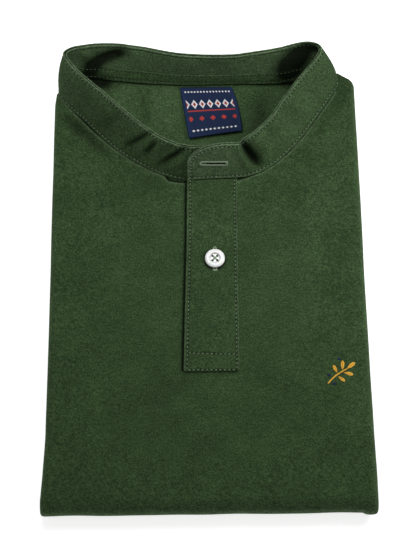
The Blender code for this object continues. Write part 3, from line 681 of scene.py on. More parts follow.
def front_lift(x, y):
    """Height of the front cloth over the flat top: puff, soft folds, shoulder."""
    across = np.clip(1.0 - (x / CROWN_REACH) ** 2, 0.0, 1.0)
    along = smooth(y, FOOT_FOLD_Y, FOOT_FOLD_Y + CROWN_FOOT) * (1.0 - smooth(y, *CROWN_HEAD))
    inside = smooth(FOLDS_REACH - np.abs(x), 0.0, FOLDS_FADE)
    inside = inside * smooth(y, FOOT_FOLD_Y, FOOT_FOLD_Y + FOLDS_FOOT)
    slow_swell = 0.16 * uneven_wave(x + 0.4 * y, 71.0, 0.7) * uneven_wave(y - 0.3 * x, 93.0, 2.0)
    folds = fold_depth(x, y, PANEL_FOLDS) - slow_swell
    return PACKET_CROWN * across * along - folds * inside - shoulder_dip(x, y)


def seam_tuck(x, y):
    """Front cloth beside the neck seam: a tuck at it, a ridge next to it, puckers."""
    away, run = nearest_on_line(np.column_stack((np.ravel(x), np.ravel(y))), NECK_LINE)
    away, run = away.reshape(np.shape(x)), run.reshape(np.shape(x))
    free = 1.0 - bell(away, 0.8, 1.4)
    return bells(away, NECK_SEAM_PROFILE) + puckers(run, away, *NECK_PUCKERS) * free


def front_painted_shade(points):
    """Painted shade in the front cloth's creases, at the neck seam, beside the placket's open edge and
    under its foot, and a painted highlight on the ridge by the neck seam.
    """
    x, y, z = points.T
    away, _ = nearest_on_line(points[:, :2], NECK_LINE)
    shown = x < SEAM_SHOWN_TO
    edge = look_up(PLACKET_EDGES, "open_x", y) - 0.8
    side = bell(x, edge, 1.2) * (y > PLACKET_FOOT)
    foot = 0.4 * bell(y, PLACKET_FOOT - 0.4, 0.7) * (x > edge) * (x < SLOT_RIGHT + 0.5)
    seam = 1.3 * bell(away, 1.5, 0.85) * shown
    folds = 0.5 * np.clip(fold_depth(x, y, PANEL_FOLDS), 0.0, 1.4)
    ridge = 1.1 * bell(away, 3.3, 0.8) * (z > MIDDLE_Z) * shown
    return np.clip((seam + side + foot + folds) * (z > MIDDLE_Z), 0.0, 1.0), ridge


def front_columns():
    """Columns of the front cloth: share across, turn, leg, side and head y of each.

    They follow the neck edge in even steps of its length, then go round the side
    folds in even turns from the tucked-in leg.
    """
    xs, ys = NECK_LINE.T
    flat_left = SIDES["left"][0] + FLANK_RADIUS
    flat_right = SIDES["right"][0] - FLANK_RADIUS
    reach = run_along(NECK_LINE)
    x = np.interp(np.arange(0.0, reach[-1], FRONT_STEP), reach, xs)
    by_placket = np.arange(-18.7, -12.0, 0.6)
    x = np.sort(np.concatenate((x, by_placket)))
    x = x[(x > flat_left + 0.6) & (x < flat_right - 0.4) & (np.diff(x, prepend=-FAR) > 0.25)]
    for slot_side in (SLOT_LEFT, SLOT_RIGHT):
        x[np.abs(x - slot_side).argmin()] = slot_side
    turns = np.linspace(-90.0, 90.0, FLANK_STEPS + 1)
    right_x = flat_right + FLANK_RADIUS * np.cos(np.radians(turns[::-1]))
    share = np.concatenate((
        np.zeros(FLANK_STEPS + 2), (x - flat_left) / (flat_right - flat_left),
        np.ones(FLANK_STEPS + 2),
    ))
    turn = np.concatenate(([-90.0], turns, np.full(len(x), 90.0), turns[::-1], [-90.0]))
    side = np.where(share == 0.0, -1.0, np.where(share == 1.0, 1.0, 0.0))
    leg = np.zeros(len(share))
    leg[[0, -1]] = 1.0
    head = np.concatenate((
        np.full(FLANK_STEPS + 2, FLANK_END_LEFT), np.interp(x, xs, ys),
        np.interp(right_x, xs, ys), ys[-1:],
    ))
    return share, np.radians(turn), leg, side, head


def front_rows():
    """Rows of the front cloth: share down the top, turn round the fold, y below."""
    top = np.linspace(0.0, 1.0, int((UNDER_HEAD - FOOT_FOLD_Y) / FRONT_STEP)) ** CLOSER_AT_NECK
    bends = np.linspace(0.0, np.pi, TURN_STEPS + 1)[1:]
    spots = np.concatenate((
        np.arange(FOOT_FOLD_Y + 4.0, HEM_ROWS[1] - 4.0, 6.0),
        np.arange(HEM_ROWS[1] - 3.0, HEM_ROWS[0] + 3.0, 0.75),
        np.arange(HEM_ROWS[0] + 4.0, HEM_Y, 4.0), [HEM_Y],
    ))
    down = np.concatenate((top, np.ones(len(bends) + len(spots))))
    bend = np.concatenate((np.zeros(len(top)), bends, np.full(len(spots), np.pi)))
    below = np.concatenate((np.zeros(len(top) + len(bends)), spots))
    return down, bend, below, len(top)


def front_cloth_grid():
    """Outer face of the front panel's cloth, as a grid of rows by columns.

    Across, x = side + radius cos(turn) round each side fold; down, y runs from the
    neck edge to the cross fold; there a = distance from the packet's mid plane is
    swung by the bend, z = mid + a cos(bend), y = fold - a sin(bend); then the cloth
    runs flat along the underside to the hem.
    """
    share, turn, leg, side, head = (part[None, :] for part in front_columns())
    *rows, top_rows = front_rows()
    down, bend, below = (part[:, None] for part in rows)
    y = np.where(below != 0.0, below, head + (FOOT_FOLD_Y - head) * down)
    left = look_up(SIDES, "left", y) + FLANK_RADIUS
    right = look_up(SIDES, "right", y) - FLANK_RADIUS
    radius = FLANK_RADIUS * (1.0 + 0.02 * uneven_wave(y + 40.0 * side, 67.0, 1.0) * side ** 2)
    x = left + (right - left) * share + side * radius * np.cos(turn) - side * leg * FLANK_LEG
    on_top = (np.arange(len(down)) < top_rows)[:, None]
    on_face = side == 0.0
    lift = front_lift(x, y) + seam_tuck(x, y) * on_face
    lift = np.where(on_top, lift * np.clip(np.sin(turn), 0.0, 1.0), 0.0)
    away = FLANK_CENTRE + radius * np.sin(turn) + lift
    ripple = 1.0 + 0.035 * uneven_wave(x, 57.0, 2.2) + 0.14 * smooth(x, 100.0, 103.5)
    z = MIDDLE_Z + away * np.cos(bend)
    y = y - (away * ripple + CORNER_FILL * np.cos(turn) ** 2) * np.sin(bend)
    hem = sum(bell(y, spot, 0.7) for spot in HEM_ROWS)
    z = z + np.where(below != 0.0, HEM_PRESS * hem * on_face, 0.0)
    # Lighter on the rims of the side folds and round the cross fold: painted highlight, partly wear.
    wear_and_highlight = np.where(on_face, 0.0, bell(turn, 0.2, 0.75))
    wear_and_highlight = wear_and_highlight + np.sin(bend) ** 6 * bell(bend, 1.5, 0.7)
    return np.stack((x, y, z), axis=-1), np.clip(wear_and_highlight, 0.0, 1.0)


def front_faces(grid):
    """Faces of the front cloth, without those in the slit for the placket."""
    faces = quads(numbering(grid.shape))
    x, y, z = grid.reshape(-1, 3)[faces].mean(axis=1).T
    slit = (x > SLOT_LEFT) & (x < SLOT_RIGHT) & (y > SLOT_FOOT) & (z > MIDDLE_Z)
    return faces[~slit]


# ------------------------------------------------------------ stand collar

BAND_ROWS = np.column_stack(tuple(BAND_SECTIONS.values()))
BAND_KNOTS = run_along(BAND_ROWS[:, :3])
BAND_LENGTH = BAND_KNOTS[-1]


def band_rail(at):
    """Foot, way up and bow of the band at distances along its seam."""
    curve = natural_spline(BAND_KNOTS, BAND_ROWS, at)
    curve[:, 2] = np.interp(at, BAND_KNOTS, BAND_ROWS[:, 2])
    lean = curve[:, 3:5]
    rise = np.sqrt(BAND_HEIGHT ** 2 - (lean ** 2).sum(axis=1))
    way_up = np.column_stack((lean, rise)) / BAND_HEIGHT
    return curve[:, :3], way_up, np.interp(at, BAND_KNOTS, BAND_ROWS[:, 5])


def band_frame(at):
    """Foot, way up, outward normal and bow of the band's mid surface."""
    foot, way_up, bow = band_rail(at)
    step = RAIL_STEP * BAND_LENGTH
    ahead = band_rail(np.clip(at + step, 0.0, BAND_LENGTH))[0]
    behind = band_rail(np.clip(at - step, 0.0, BAND_LENGTH))[0]
    return foot, way_up, unit_rows(np.cross(way_up, ahead - behind)), bow


def band_top(end):
    """Height that the band keeps near its cut ends: a quarter of an ellipse."""
    curl = np.clip(1.0 - end / BAND_CORNER, 0.0, 1.0)
    return BAND_LOW + (BAND_HEIGHT - BAND_LOW) * np.sqrt(1.0 - curl ** 2)


def free_edge(end, up):
    """Distance in the band from its free edge, (1 - r) / |gradient of r|.

    r is 1 on the edge: the ellipse of the corner, the cut end under it and the
    straight top beyond it are all where hypot(across, over) = 1.
    """
    across = np.clip(1.0 - end / BAND_CORNER, 0.0, 1.0)
    over = np.clip((up - BAND_LOW) / (BAND_HEIGHT - BAND_LOW), 0.0, None)
    radius = np.hypot(across, over)
    slope = np.hypot(across / BAND_CORNER, over / (BAND_HEIGHT - BAND_LOW))
    corner = (1.0 - radius) * radius / np.maximum(slope, 1e-6)
    return np.where(radius > 0.02, corner, np.minimum(end, BAND_HEIGHT - up))


def band_puff(at, up):
    """How far each ply swells from the other: full at its edges, pressed at stitches.

    The bumps of both profiles stand out or go in along the free edge and the seam,
    and slanting puckers run across both rows of stitches.
    """
    edge = free_edge(np.minimum(at, BAND_LENGTH - at), up)
    run = at + 0.35 * up
    puff = bells(edge, BAND_EDGE_PROFILE) + bells(up, BAND_FOOT_PROFILE)
    puff = puff + puckers(run, np.abs(edge - 3.2), *BAND_EDGE_PUCKERS)
    return puff + puckers(run, np.abs(up - 3.0), *BAND_FOOT_PUCKERS)


def band_point(at, up, depth):
    """Point of the band: along its seam, up from it, and outwards from its middle.

    Point = foot + way up (height) + outward (depth - creases + bow 4 h (1 - h)),
    and each depth's foot is cut level, so that the band stands on the neck edge.
    """
    foot, way_up, outward, bow = band_frame(at)
    end = np.minimum(at, BAND_LENGTH - at)
    height = up / BAND_HEIGHT
    crease = fold_depth(BAND_LENGTH - at, up, BAND_CREASES)
    slow = 0.25 * uneven_wave(at, 43.0, 1.1) * smooth(up, 6.0, 24.0) * smooth(end, 30.0, 60.0)
    level = -depth * outward[:, 2] / way_up[:, 2] * (1.0 - up / band_top(end))
    kink = KINK_DROP * bell(BAND_LENGTH - at, LAP_REACH, KINK_HALF) * smooth(up, 14.0, BAND_HEIGHT)
    out = depth - crease + slow + bow * 4.0 * height * (1.0 - height)
    return foot + way_up * (up + level - kink)[:, None] + outward * out[:, None]


def band_stations():
    """Distances along the band, closer together at its two cut ends."""
    near_end = np.array((0.0, 0.15, 0.4, 0.75, 1.2, 1.8, 2.4, 3.0, 3.8, 4.8, 6.0))
    return np.concatenate((
        near_end, np.arange(7.3, BAND_LENGTH - 6.7, BAND_STEP), BAND_LENGTH - near_end[::-1],
    ))


def band_heights():
    """Shares of the band's height, closer together at the seam and the top edge."""
    foot = np.array((0.0, 0.12, 0.35, 0.7, 1.1, 1.5, 2.0, 2.5, 3.1, 4.0, 5.2))
    top = BAND_HEIGHT - np.array(
        (0.0, 0.12, 0.35, 0.7, 1.1, 1.6, 2.0, EDGE_ROW, 2.8, 3.4, 4.2, 5.4))
    return np.concatenate((foot, np.arange(6.8, BAND_HEIGHT - 6.0, 1.7), top[::-1])) / BAND_HEIGHT


def band_painted_shade(at, up, side):
    """Painted shade on one face of the band, from 0 to 1: in its creases and where its shade table
    puts it.
    """
    from_lap = BAND_LENGTH - at
    crease = side * fold_depth(from_lap, up, BAND_CREASES)
    shade = fold_depth(from_lap, up, OUTER_SHADE if side > 0.0 else INNER_SHADE)
    return np.clip(np.maximum(crease / 3.0, shade), 0.0, 1.0)


def band_ply_grid(side):
    """Middle of one ply, side +1 for the outer and -1 for the inner.

    Also gives, at each point, its wear and painted highlight, its painted shade, the way out of the
    ply, and the distance from its free edge.
    """
    at, share = np.meshgrid(band_stations(), band_heights(), indexing="ij")
    at = at.ravel()
    end = np.minimum(at, BAND_LENGTH - at)
    up = share.ravel() * band_top(end)
    middle = 0.5 * (BAND_HALF + 0.5 * BAND_PLY_GAP)
    points = band_point(at, up, side * (middle + band_puff(at, up)))
    edge = free_edge(end, up)
    # Lighter along the free edge, at the seam, over the lap's outer face and over the whole inner ply:
    # partly wear, partly painted highlight and painted light.
    lap = 1.0 - smooth(BAND_LENGTH - at, 30.0, 46.0) if side > 0.0 else 0.6
    wear_and_highlight = 1.9 * bell(edge, 0.1, 0.75) + 0.8 * bell(up, 0.6, 0.7) + 0.9 * lap
    outward = side * band_frame(at)[2]
    return points.reshape(*share.shape, 3), wear_and_highlight, band_painted_shade(at, up, side), outward, edge


def band_line(at, up, side):
    """Points and outward normals along a line on the face of one ply."""
    depth = side * (BAND_HALF + band_puff(at, up))
    point = band_point(at, up, depth)
    step = 0.4
    along = band_point(np.minimum(at + step, BAND_LENGTH), up, depth) - point
    rise = band_point(at, up + step, depth) - point
    return point, unit_rows(np.cross(rise, along) * side)


def band_edge_row():
    """Distances along and up of the row of stitches by the band's free edge.

    From the under end: up the cut end, round the corner as an ellipse inside that
    of the edge, along the top, and down again at the lap end.
    """
    turn = np.linspace(0.0, 0.5 * np.pi, 30)
    corner_at = BAND_CORNER - (BAND_CORNER - EDGE_ROW) * np.cos(turn)
    corner_up = BAND_LOW + (BAND_HEIGHT - BAND_LOW - EDGE_ROW) * np.sin(turn)
    rise = np.linspace(FOOT_ROW, BAND_LOW, 12)[:-1]
    half_at = np.concatenate((np.full(len(rise), EDGE_ROW), corner_at))
    half_up = np.concatenate((rise, corner_up))
    top = np.arange(BAND_CORNER + BAND_STEP, BAND_LENGTH - BAND_CORNER - 1.0, BAND_STEP)
    at = np.concatenate((half_at, top, BAND_LENGTH - half_at[::-1]))
    up = np.concatenate((half_up, np.full(len(top), BAND_HEIGHT - EDGE_ROW), half_up[::-1]))
    return at, up


def band_foot_row():
    """Distances along and up of the row of stitches by the neck seam."""
    at = np.arange(EDGE_ROW + 1.0, BAND_LENGTH - EDGE_ROW, BAND_STEP)
    return at, np.full(len(at), FOOT_ROW)


def band_rows():
    """The band's rows of stitches: by its edge, by the seam, and round the lap's end."""
    at, up = band_edge_row()
    start = np.abs(at - BAND_LENGTH + LAP_REACH).argmin()
    return [(at[:start + 1], up[:start + 1]), band_foot_row(), (at[start:], up[start:])]


# ------------------------------------------------------------ back and tape


def back_edge():
    """Neck edge of the back panel, from left to right: x, y and height."""
    foot, _, outward, _ = band_frame(np.linspace(0.0, BAND_LENGTH, 600))
    behind = foot[:, 1] > BEHIND_Y - 5.0
    plan = foot[behind, :2] + outward[behind, :2] * BAND_HALF
    order = np.argsort(plan[:, 0])
    return plan[order, 0], plan[order, 1], foot[behind, 2][order] - SEAM_GAP


EDGE_X, EDGE_Y, EDGE_Z = back_edge()


def back_edge_y(x):
    """How far the back panel reaches towards the collar."""
    reach = np.interp(x, EDGE_X, EDGE_Y)
    shoulder = smooth(x, *BACK_SHOULDER_X)
    return reach * (1.0 - shoulder) + BACK_SHOULDER_Y * shoulder


def back_height(x, y):
    """Inside face of the back panel: flat, rising to the sides and the neck seam."""
    floor = BACK_FLOOR + (BACK_SIDE - BACK_FLOOR) * smooth(np.abs(x), *BACK_SIDE_X)
    seam = np.minimum(np.interp(x, EDGE_X, EDGE_Z), BACK_SIDE)
    edge = back_edge_y(x)
    near = smooth(y, edge - BACK_NEAR_SEAM[0], edge - BACK_NEAR_SEAM[1])
    return floor + (seam - floor) * near - shoulder_dip(x, y)


def back_cloth_grid():
    """Middle of the back panel's cloth, with its pulls and puckers at the seam."""
    half = SIDES["right"][0] - FLANK_RADIUS - 2.0 * SEAM_GAP
    share = np.linspace(0.0, 1.0, 58)[:, None] ** 0.8
    wide = half * np.linspace(-1.0, 1.0, 112)[None, :] + 0.0 * share
    head = back_edge_y(wide)
    y = BACK_FRONT_EDGE + (head - BACK_FRONT_EDGE) * share
    spread = BACK_LEFT_SPREAD * smooth(y, FLANK_END_LEFT + 0.6, FLANK_END_LEFT + 3.0)
    x = wide - spread * smooth(-wide, BACK_SIDE_X[1] - 7.0, half)
    shown = smooth(y, 92.0, 112.0) * smooth(np.abs(wide), half, half - 14.0)
    relief = puckers(wide, head - y, *BACK_PUCKERS) * smooth(head - y, 0.0, 3.0)
    relief = (relief - fold_depth(wide, y, BACK_FOLDS)) * shown
    z = back_height(wide, y) - 0.5 * BACK_WALL + relief
    return np.stack((x, y, z), axis=-1)


def back_painted_shade(points):
    """Painted shade on the back panel: under the tape, in its two corners and along its pulls."""
    x, y, _ = points.T
    seam = 0.85 * bell(back_edge_y(x) - y, 1.8, 2.0)
    return np.clip(seam + fold_depth(x, y, BACK_SHADE), 0.0, 1.0)


def tape_run():
    """Distances along the band where the neck tape starts and ends."""
    dense = np.linspace(0.0, BAND_LENGTH, 1200)
    foot = band_rail(dense)[0]
    behind = foot[:, 1] > BEHIND_Y
    return np.interp((TAPE_FROM, TAPE_TO), foot[behind, 0], dense[behind])


def tape_depth(at, up):
    """Depth of the tape's face: over the inner ply, pressed in at its stitches."""
    press = sum(bell(up, row, 0.6) for row in TAPE_ROWS)
    puff = 0.25 * (1.0 - press) + 0.12 * uneven_wave(at + 0.3 * up, 6.5, 1.7)
    return -(BAND_HALF + SEAM_GAP + 0.5 * TAPE_WALL + puff)


def tape_grid():
    """Middle of the neck tape: a strip on the inside of the band's inner ply."""
    at, up = np.meshgrid(np.arange(*tape_run(), BAND_STEP), TAPE_HEIGHTS, indexing="ij")
    at, up, shape = at.ravel(), up.ravel(), at.shape
    points = band_point(at, up, tape_depth(at, up))
    # Painted shade from the band's creases and along the tape's lower edge.
    shade = np.maximum(band_painted_shade(at, up, -1.0), 0.7 * bell(up, TAPE_LOW, 0.5))
    return points.reshape(*shape, 3), shade


def tape_line(height):
    """Points and normals of a row of stitches on the tape's face."""
    first, last = tape_run()
    at = np.arange(first + 2.0, last - 2.0, 1.2)
    up = np.full(len(at), height)
    return band_point(at, up, tape_depth(at, up) - 0.5 * TAPE_WALL), -band_frame(at)[2]


# ------------------------------------------------------------ plackets


def placket_edges(share, y):
    """x across the top placket, with small rounded corners at its foot."""
    left = look_up(PLACKET_EDGES, "open_x", y)
    right = look_up(PLACKET_EDGES, "fold_x", y)
    foot = np.clip(1.0 - (y - PLACKET_FOOT) / PLACKET_CORNER, 0.0, 1.0)
    pull = PLACKET_CORNER * (1.0 - np.sqrt(1.0 - foot ** 2))
    return left + pull + (right - left - 2.0 * pull) * share


def placket_rows():
    """Its rows of stitches, as bent lines of x and y."""
    y = np.linspace(BOX_ROWS[1], PLACKET_HEAD - 0.6, 40)
    open_row = np.column_stack((look_up(PLACKET_EDGES, "open_x", y) + PLACKET_ROW, y))
    fold_row = np.column_stack((look_up(PLACKET_EDGES, "fold_x", y) - PLACKET_FOLD_ROW, y))
    lines = [open_row, fold_row]
    for spot, slant in zip(BOX_ROWS, BOX_SLANTS):
        left = (np.interp(spot, y, open_row[:, 0]), spot + slant)
        right = (np.interp(spot, y, fold_row[:, 0]), spot - slant)
        lines.append(np.linspace(left, right, 8))
    return lines


def from_button(x, y):
    """Distance from the middle of the chest button, in plan."""
    return np.hypot(x - BUTTON_PLACE[0], y - BUTTON_PLACE[1])


def placket_top_height(x, y):
    """Upper face of the top placket: pressed at its stitches, puffed between them."""
    marks = stitch_marks(np.column_stack((np.ravel(x), np.ravel(y))), placket_rows())
    off, run = (marks[name].reshape(np.shape(x)) for name in ("stitch_off", "stitch_run"))
    curl = bell(x, look_up(PLACKET_EDGES, "open_x", y), 2.4)
    curl = curl * smooth(y, PLACKET_FOOT, PLACKET_FOOT + 12.0)
    dent = bell(from_button(x, y), 7.6, 1.6)
    relief = bells(off, PLACKET_ROW_PROFILE)
    relief = relief + puckers(run, off, *PLACKET_PUCKERS) * (1.0 - bell(off, 0.0, 0.5))
    relief = relief + 0.45 * curl - fold_depth(x, y, PLACKET_FOLDS) - 0.45 * dent
    return PACKET_HEIGHT + front_lift(x, y) + SEAM_GAP + PLACKET_WALL + relief


def placket_top_grid():
    """Middle of the top placket's cloth."""
    near = np.array((0.0, 0.15, 0.4, 0.8, 1.3, 1.8, 2.3, 2.8, 3.4, 4.2))
    wide = PLACKET_EDGES["fold_x"][0] - PLACKET_EDGES["open_x"][0]
    across = np.concatenate((near, np.arange(5.2, wide - 5.0, 1.1), wide - near[::-1])) / wide
    corner = PLACKET_FOOT + np.array((0.0, 0.08, 0.25, 0.5, 0.9, 1.6, 2.2))
    along = np.concatenate((corner, np.arange(-68.2, PLACKET_HEAD - 0.7, 0.9), [PLACKET_HEAD]))
    y, share = np.meshgrid(along, across, indexing="ij")
    x = placket_edges(share, y)
    z = placket_top_height(x, y) - 0.5 * PLACKET_WALL
    return np.stack((x, y, z), axis=-1)


def placket_line(plan):
    """Points and normals along a line of x and y on the top placket.

    The normals lean by 0.4 of the slope, so that the threads stay nearly upright.
    """
    x, y = plan.T
    z = placket_top_height(x, y)
    step = 0.3
    slopes = [
        (placket_top_height(x + dx, y + dy) - placket_top_height(x - dx, y - dy)) / (2.0 * step)
        for dx, dy in ((step, 0.0), (0.0, step))
    ]
    normals = np.column_stack((-0.4 * slopes[0], -0.4 * slopes[1], np.ones(len(x))))
    return np.column_stack((x, y, z)), unit_rows(normals)


def placket_under_grid():
    """Middle of the under placket, which fills the slit level with the panel."""
    y, x = np.meshgrid(
        np.linspace(SLOT_FOOT + SEAM_GAP, UNDER_HEAD, 60),
        np.linspace(SLOT_LEFT + SEAM_GAP, SLOT_RIGHT - SEAM_GAP, 16), indexing="ij",
    )
    return np.stack((x, y, PACKET_HEIGHT + front_lift(x, y) - UNDER_DROP), axis=-1)


# ------------------------------------------------------------ hidden layers


def layers_grid():
    """The hidden layers as one folded length of cloth, to and fro between its ends.

    Each table row is one folded edge at the collar end.  The cloth runs to it on
    the row's lower ply, turns half a circle, runs back on the upper ply, and turns
    the other way at the foot end.
    """
    head_turn, foot_turn = (np.linspace(-0.5 * np.pi, 0.5 * np.pi, steps) for steps in (9, 7))
    straight = np.linspace(0.0, 1.0, 16)[1:-1]
    level = np.zeros(len(straight))
    count = len(LAYERS["share"])
    pitch = 1.0 / count
    half = 0.25 * pitch
    runs, ups, bulges = [], [], []
    for share in LAYERS["share"]:
        runs += [straight, 1.0 + 0.0 * head_turn, straight[::-1]]
        ups += [share - half + level, share + half * np.sin(head_turn), share + half + level]
        bulges += [level, np.cos(head_turn), level]
        if share < LAYERS["share"][-1]:
            runs.append(0.0 * foot_turn)
            ups.append(share + 2.0 * half + half * np.sin(foot_turn))
            bulges.append(-np.cos(foot_turn))
    run, up, bulge = (np.concatenate(part)[:, None] for part in (runs, ups, bulges))
    layer = np.clip((up * count).astype(int), 0, count - 1)
    set_back = LAYERS["set_back"][layer]
    left, right = SIDES["left"][0] + LAYER_INSET, SIDES["right"][0] - LAYER_INSET
    x = np.linspace(left, right, 64)[None, :]
    uneven = 0.5 * uneven_wave(x + 31.0 * layer, 47.0, 1.0)
    head = back_edge_y(x) - LAYER_BEHIND - 1.2 - set_back + uneven
    foot = FOOT_FOLD_Y + 2.0
    y = foot + (head - foot) * run
    top_body = PACKET_HEIGHT - 1.9 + front_lift(x, np.minimum(y, BACK_FRONT_EDGE))
    top_neck = back_height(x, y) - BACK_WALL - 0.9
    top = np.where(y > BACK_FRONT_EDGE - 2.0, top_neck, top_body) - LAYER_FLOOR
    z = LAYER_FLOOR + 0.4 + (top - 0.8) * up
    y = y + bulge * half * top
    bare = smooth(y, FLANK_END_LEFT + 0.5, FLANK_END_LEFT + 3.0)
    x = x - 4.2 * bare * smooth(-x, 92.0, -left) * (1.0 - 0.25 * set_back)
    return np.stack((x, y, z), axis=-1)


# ------------------------------------------------------------ neck label


def label_grid():
    """Middle of the neck label: edges splined through its table, arched across."""
    v, u = np.meshgrid(np.linspace(0.0, 1.0, 46), np.linspace(0.0, 1.0, 42), indexing="ij")
    rows = np.column_stack(tuple(LABEL_SHEET.values()))
    curve = natural_spline(rows[:, 0], rows[:, 1:], v.ravel())
    left, right, height = curve[:, 0:2], curve[:, 2:4], curve[:, 4]
    across, down = u.ravel(), v.ravel()
    plan = left + (right - left) * across[:, None]
    arch = LABEL_ARCH * np.sin(np.pi * across) * down
    selvedge = 0.12 * (bell(across, 0.0, 0.03) + bell(across, 1.0, 0.03))
    z = height + arch + selvedge - 0.5 * LABEL_WALL
    return np.column_stack((plan, z)).reshape(*v.shape, 3), np.column_stack((across, 1.0 - down))


# ------------------------------------------------------------ button and sewing


def button_patch():
    """Recess, hole wall and underside round one hole, as a ring of bent strips.

    From the hole's middle, each direction ends where it first meets the recess
    circle or one of the two lines between the holes; each strip comes in from
    there, over the hole's rounded rim, down its wall and out again underneath.
    """
    spread = BUTTON_HOLE_SPREAD
    first = math.atan2(-spread, RECESS - spread)
    last = 0.5 * math.pi - first
    turn = np.concatenate((
        np.linspace(first, last, 15)[:-1], np.linspace(last, 1.25 * np.pi, 6)[:-1],
        np.linspace(1.25 * np.pi, first + 2.0 * np.pi, 6)[:-1],
    ))
    way = np.column_stack((np.cos(turn), np.sin(turn)))
    toward = spread * way.sum(axis=1)
    circle = -toward + np.sqrt(toward ** 2 - 2.0 * spread ** 2 + RECESS ** 2)
    lines = np.where(way < -1e-6, -spread / np.minimum(way, -1e-6), FAR).min(axis=1)
    edge = np.minimum(circle, lines)
    hole = BUTTON_HOLE_RADIUS
    shares = np.array((1.0, 0.6, 0.3, 0.12, 0.03, 0.0, 0.0, 0.0, 0.12, 0.5, 1.0))[:, None]
    heights = np.array((0.0, 0.0, 0.0, 0.0, -0.05, -0.16, -0.8, -1.5, -1.5, -1.5, -1.5))
    reach = hole + (edge - hole) * shares
    plan = spread + reach[..., None] * way
    height = np.broadcast_to((RECESS_HEIGHT + heights)[:, None, None], plan.shape[:2] + (1,))
    on_circle = np.isclose(circle, edge)
    rim = np.sort(np.arctan2(plan[0, on_circle, 1], plan[0, on_circle, 0]))
    return np.concatenate((plan, height), axis=-1), rim


def ring_faces(number):
    """Faces of a grid that closes on itself along its second direction."""
    return quads(np.concatenate((number, number[:, :1]), axis=1))


def button_skin():
    """The button: four patches round its holes inside a turned rim."""
    patch, rim = button_patch()
    parts, faces, count = [], [], 0
    for mirror in ((1, 1), (-1, 1), (-1, -1), (1, -1)):
        parts.append((patch * (*mirror, 1)).reshape(-1, 3))
        faces.append(count + ring_faces(numbering(patch.shape)))
        count += len(parts[-1])
    quarter = rim[:-1] if np.isclose(rim[-1], 0.5 * np.pi) else rim
    angles = np.concatenate([quarter + side * 0.5 * np.pi for side in range(4)])
    radius, height = (column[:, None] for column in BUTTON_PROFILE.values())
    turned = (radius * np.cos(angles), radius * np.sin(angles), height + 0.0 * angles)
    turned = np.stack(turned, axis=-1)
    faces.append(count + ring_faces(numbering(turned.shape)))
    parts.append(turned.reshape(-1, 3))
    return np.concatenate(parts), np.concatenate(faces)


def upright(count):
    """The way up for a number of threads that lie level."""
    return np.tile((0.0, 0.0, 1.0), (count, 1))


def button_rest():
    """Height of the button's underside above the floor."""
    x, y = BUTTON_PLACE
    lift = float(front_lift(np.array(x), np.array(y)))
    return PACKET_HEIGHT + lift + 2.0 * SEAM_GAP + PLACKET_WALL


def button_threads():
    """Threads of the button's cross: three from hole to hole on each diagonal."""
    middle = np.array((*BUTTON_PLACE, button_rest()))
    starts, ends = [], []
    for way in ((1.0, 1.0), (1.0, -1.0)):
        foot = np.array(way) * (BUTTON_HOLE_SPREAD - 0.36)
        aside = np.array((-way[1], way[0])) / math.sqrt(2.0)
        for shift in (-0.36, 0.0, 0.36):
            starts.append((*(foot + aside * shift), 1.1))
            ends.append((*(-foot + aside * shift), 1.1))
    return np.array(starts) + middle, np.array(ends) + middle, upright(len(starts))


def buttonhole_threads(place, length, half_width, inner):
    """Threads of a buttonhole: satin down both sides, a fan at one end, a bar at the other.

    place(a, b) gives points and normals at a along the slit and b across it.
    """
    half = 0.5 * length
    spots = np.arange(-half, half, 0.40)
    level = np.zeros(len(spots))
    uneven = 0.07 * uneven_wave(spots, 2.3, 0.5)
    turn = np.linspace(0.5 * np.pi, 1.5 * np.pi, 12)
    fan_a, fan_b = np.cos(turn), np.sin(turn)
    bar = half + np.arange(0.1, 1.3, 0.38)
    bar_b = np.full(len(bar), half_width + 0.15)
    in_a = (spots, spots, -half + 0.4 * fan_a, bar)
    in_b = (level + inner, level - inner, inner * fan_b, bar_b)
    out_a = (spots + 0.1, spots + 0.1, -half + half_width * fan_a, bar)
    out_b = (uneven + half_width, uneven - half_width, half_width * fan_b, -bar_b)
    start, up = place(np.concatenate(in_a), np.concatenate(in_b))
    end, _ = place(np.concatenate(out_a), np.concatenate(out_b))
    return start, end, up


def slit_shade_lips(place, length):
    """The two cut edges of a buttonhole, side by side in its slit: threads that take a near-black
    colour as painted shade in the open slit.
    """
    cuts = np.linspace(-0.34 * length, 0.46 * length, 7)
    in_a, in_b = np.tile(cuts[:-1], 3), np.repeat((0.36, 0.0, -0.36), 6)
    start, up = place(in_a, in_b)
    end, _ = place(in_a + cuts[1] - cuts[0] + 0.1, in_b)
    return start, end, up


def band_hole_place(a, b):
    """Places on the lap for its buttonhole, a little lower towards its right end."""
    from_lap = 19.2 + a
    up = 14.4 - 0.05 * a + b
    return band_line(BAND_LENGTH - from_lap, up, 1.0)


def chest_hole_place(a, b):
    """Places on the top placket for the buttonhole under the chest button."""
    return placket_line(np.column_stack((BUTTON_PLACE[0] - b, BUTTON_PLACE[1] + 0.3 - a)))


def on_chest(starts, ends):
    """Threads of the sprig, laid on the front cloth at its place."""
    points = []
    for plan in (starts, ends):
        x, y = (np.concatenate(plan) + SPRIG_PLACE).T
        z = PACKET_HEIGHT + front_lift(x, y) + seam_tuck(x, y)
        points.append(np.column_stack((x, y, z)))
    return *points, upright(len(points[0]))


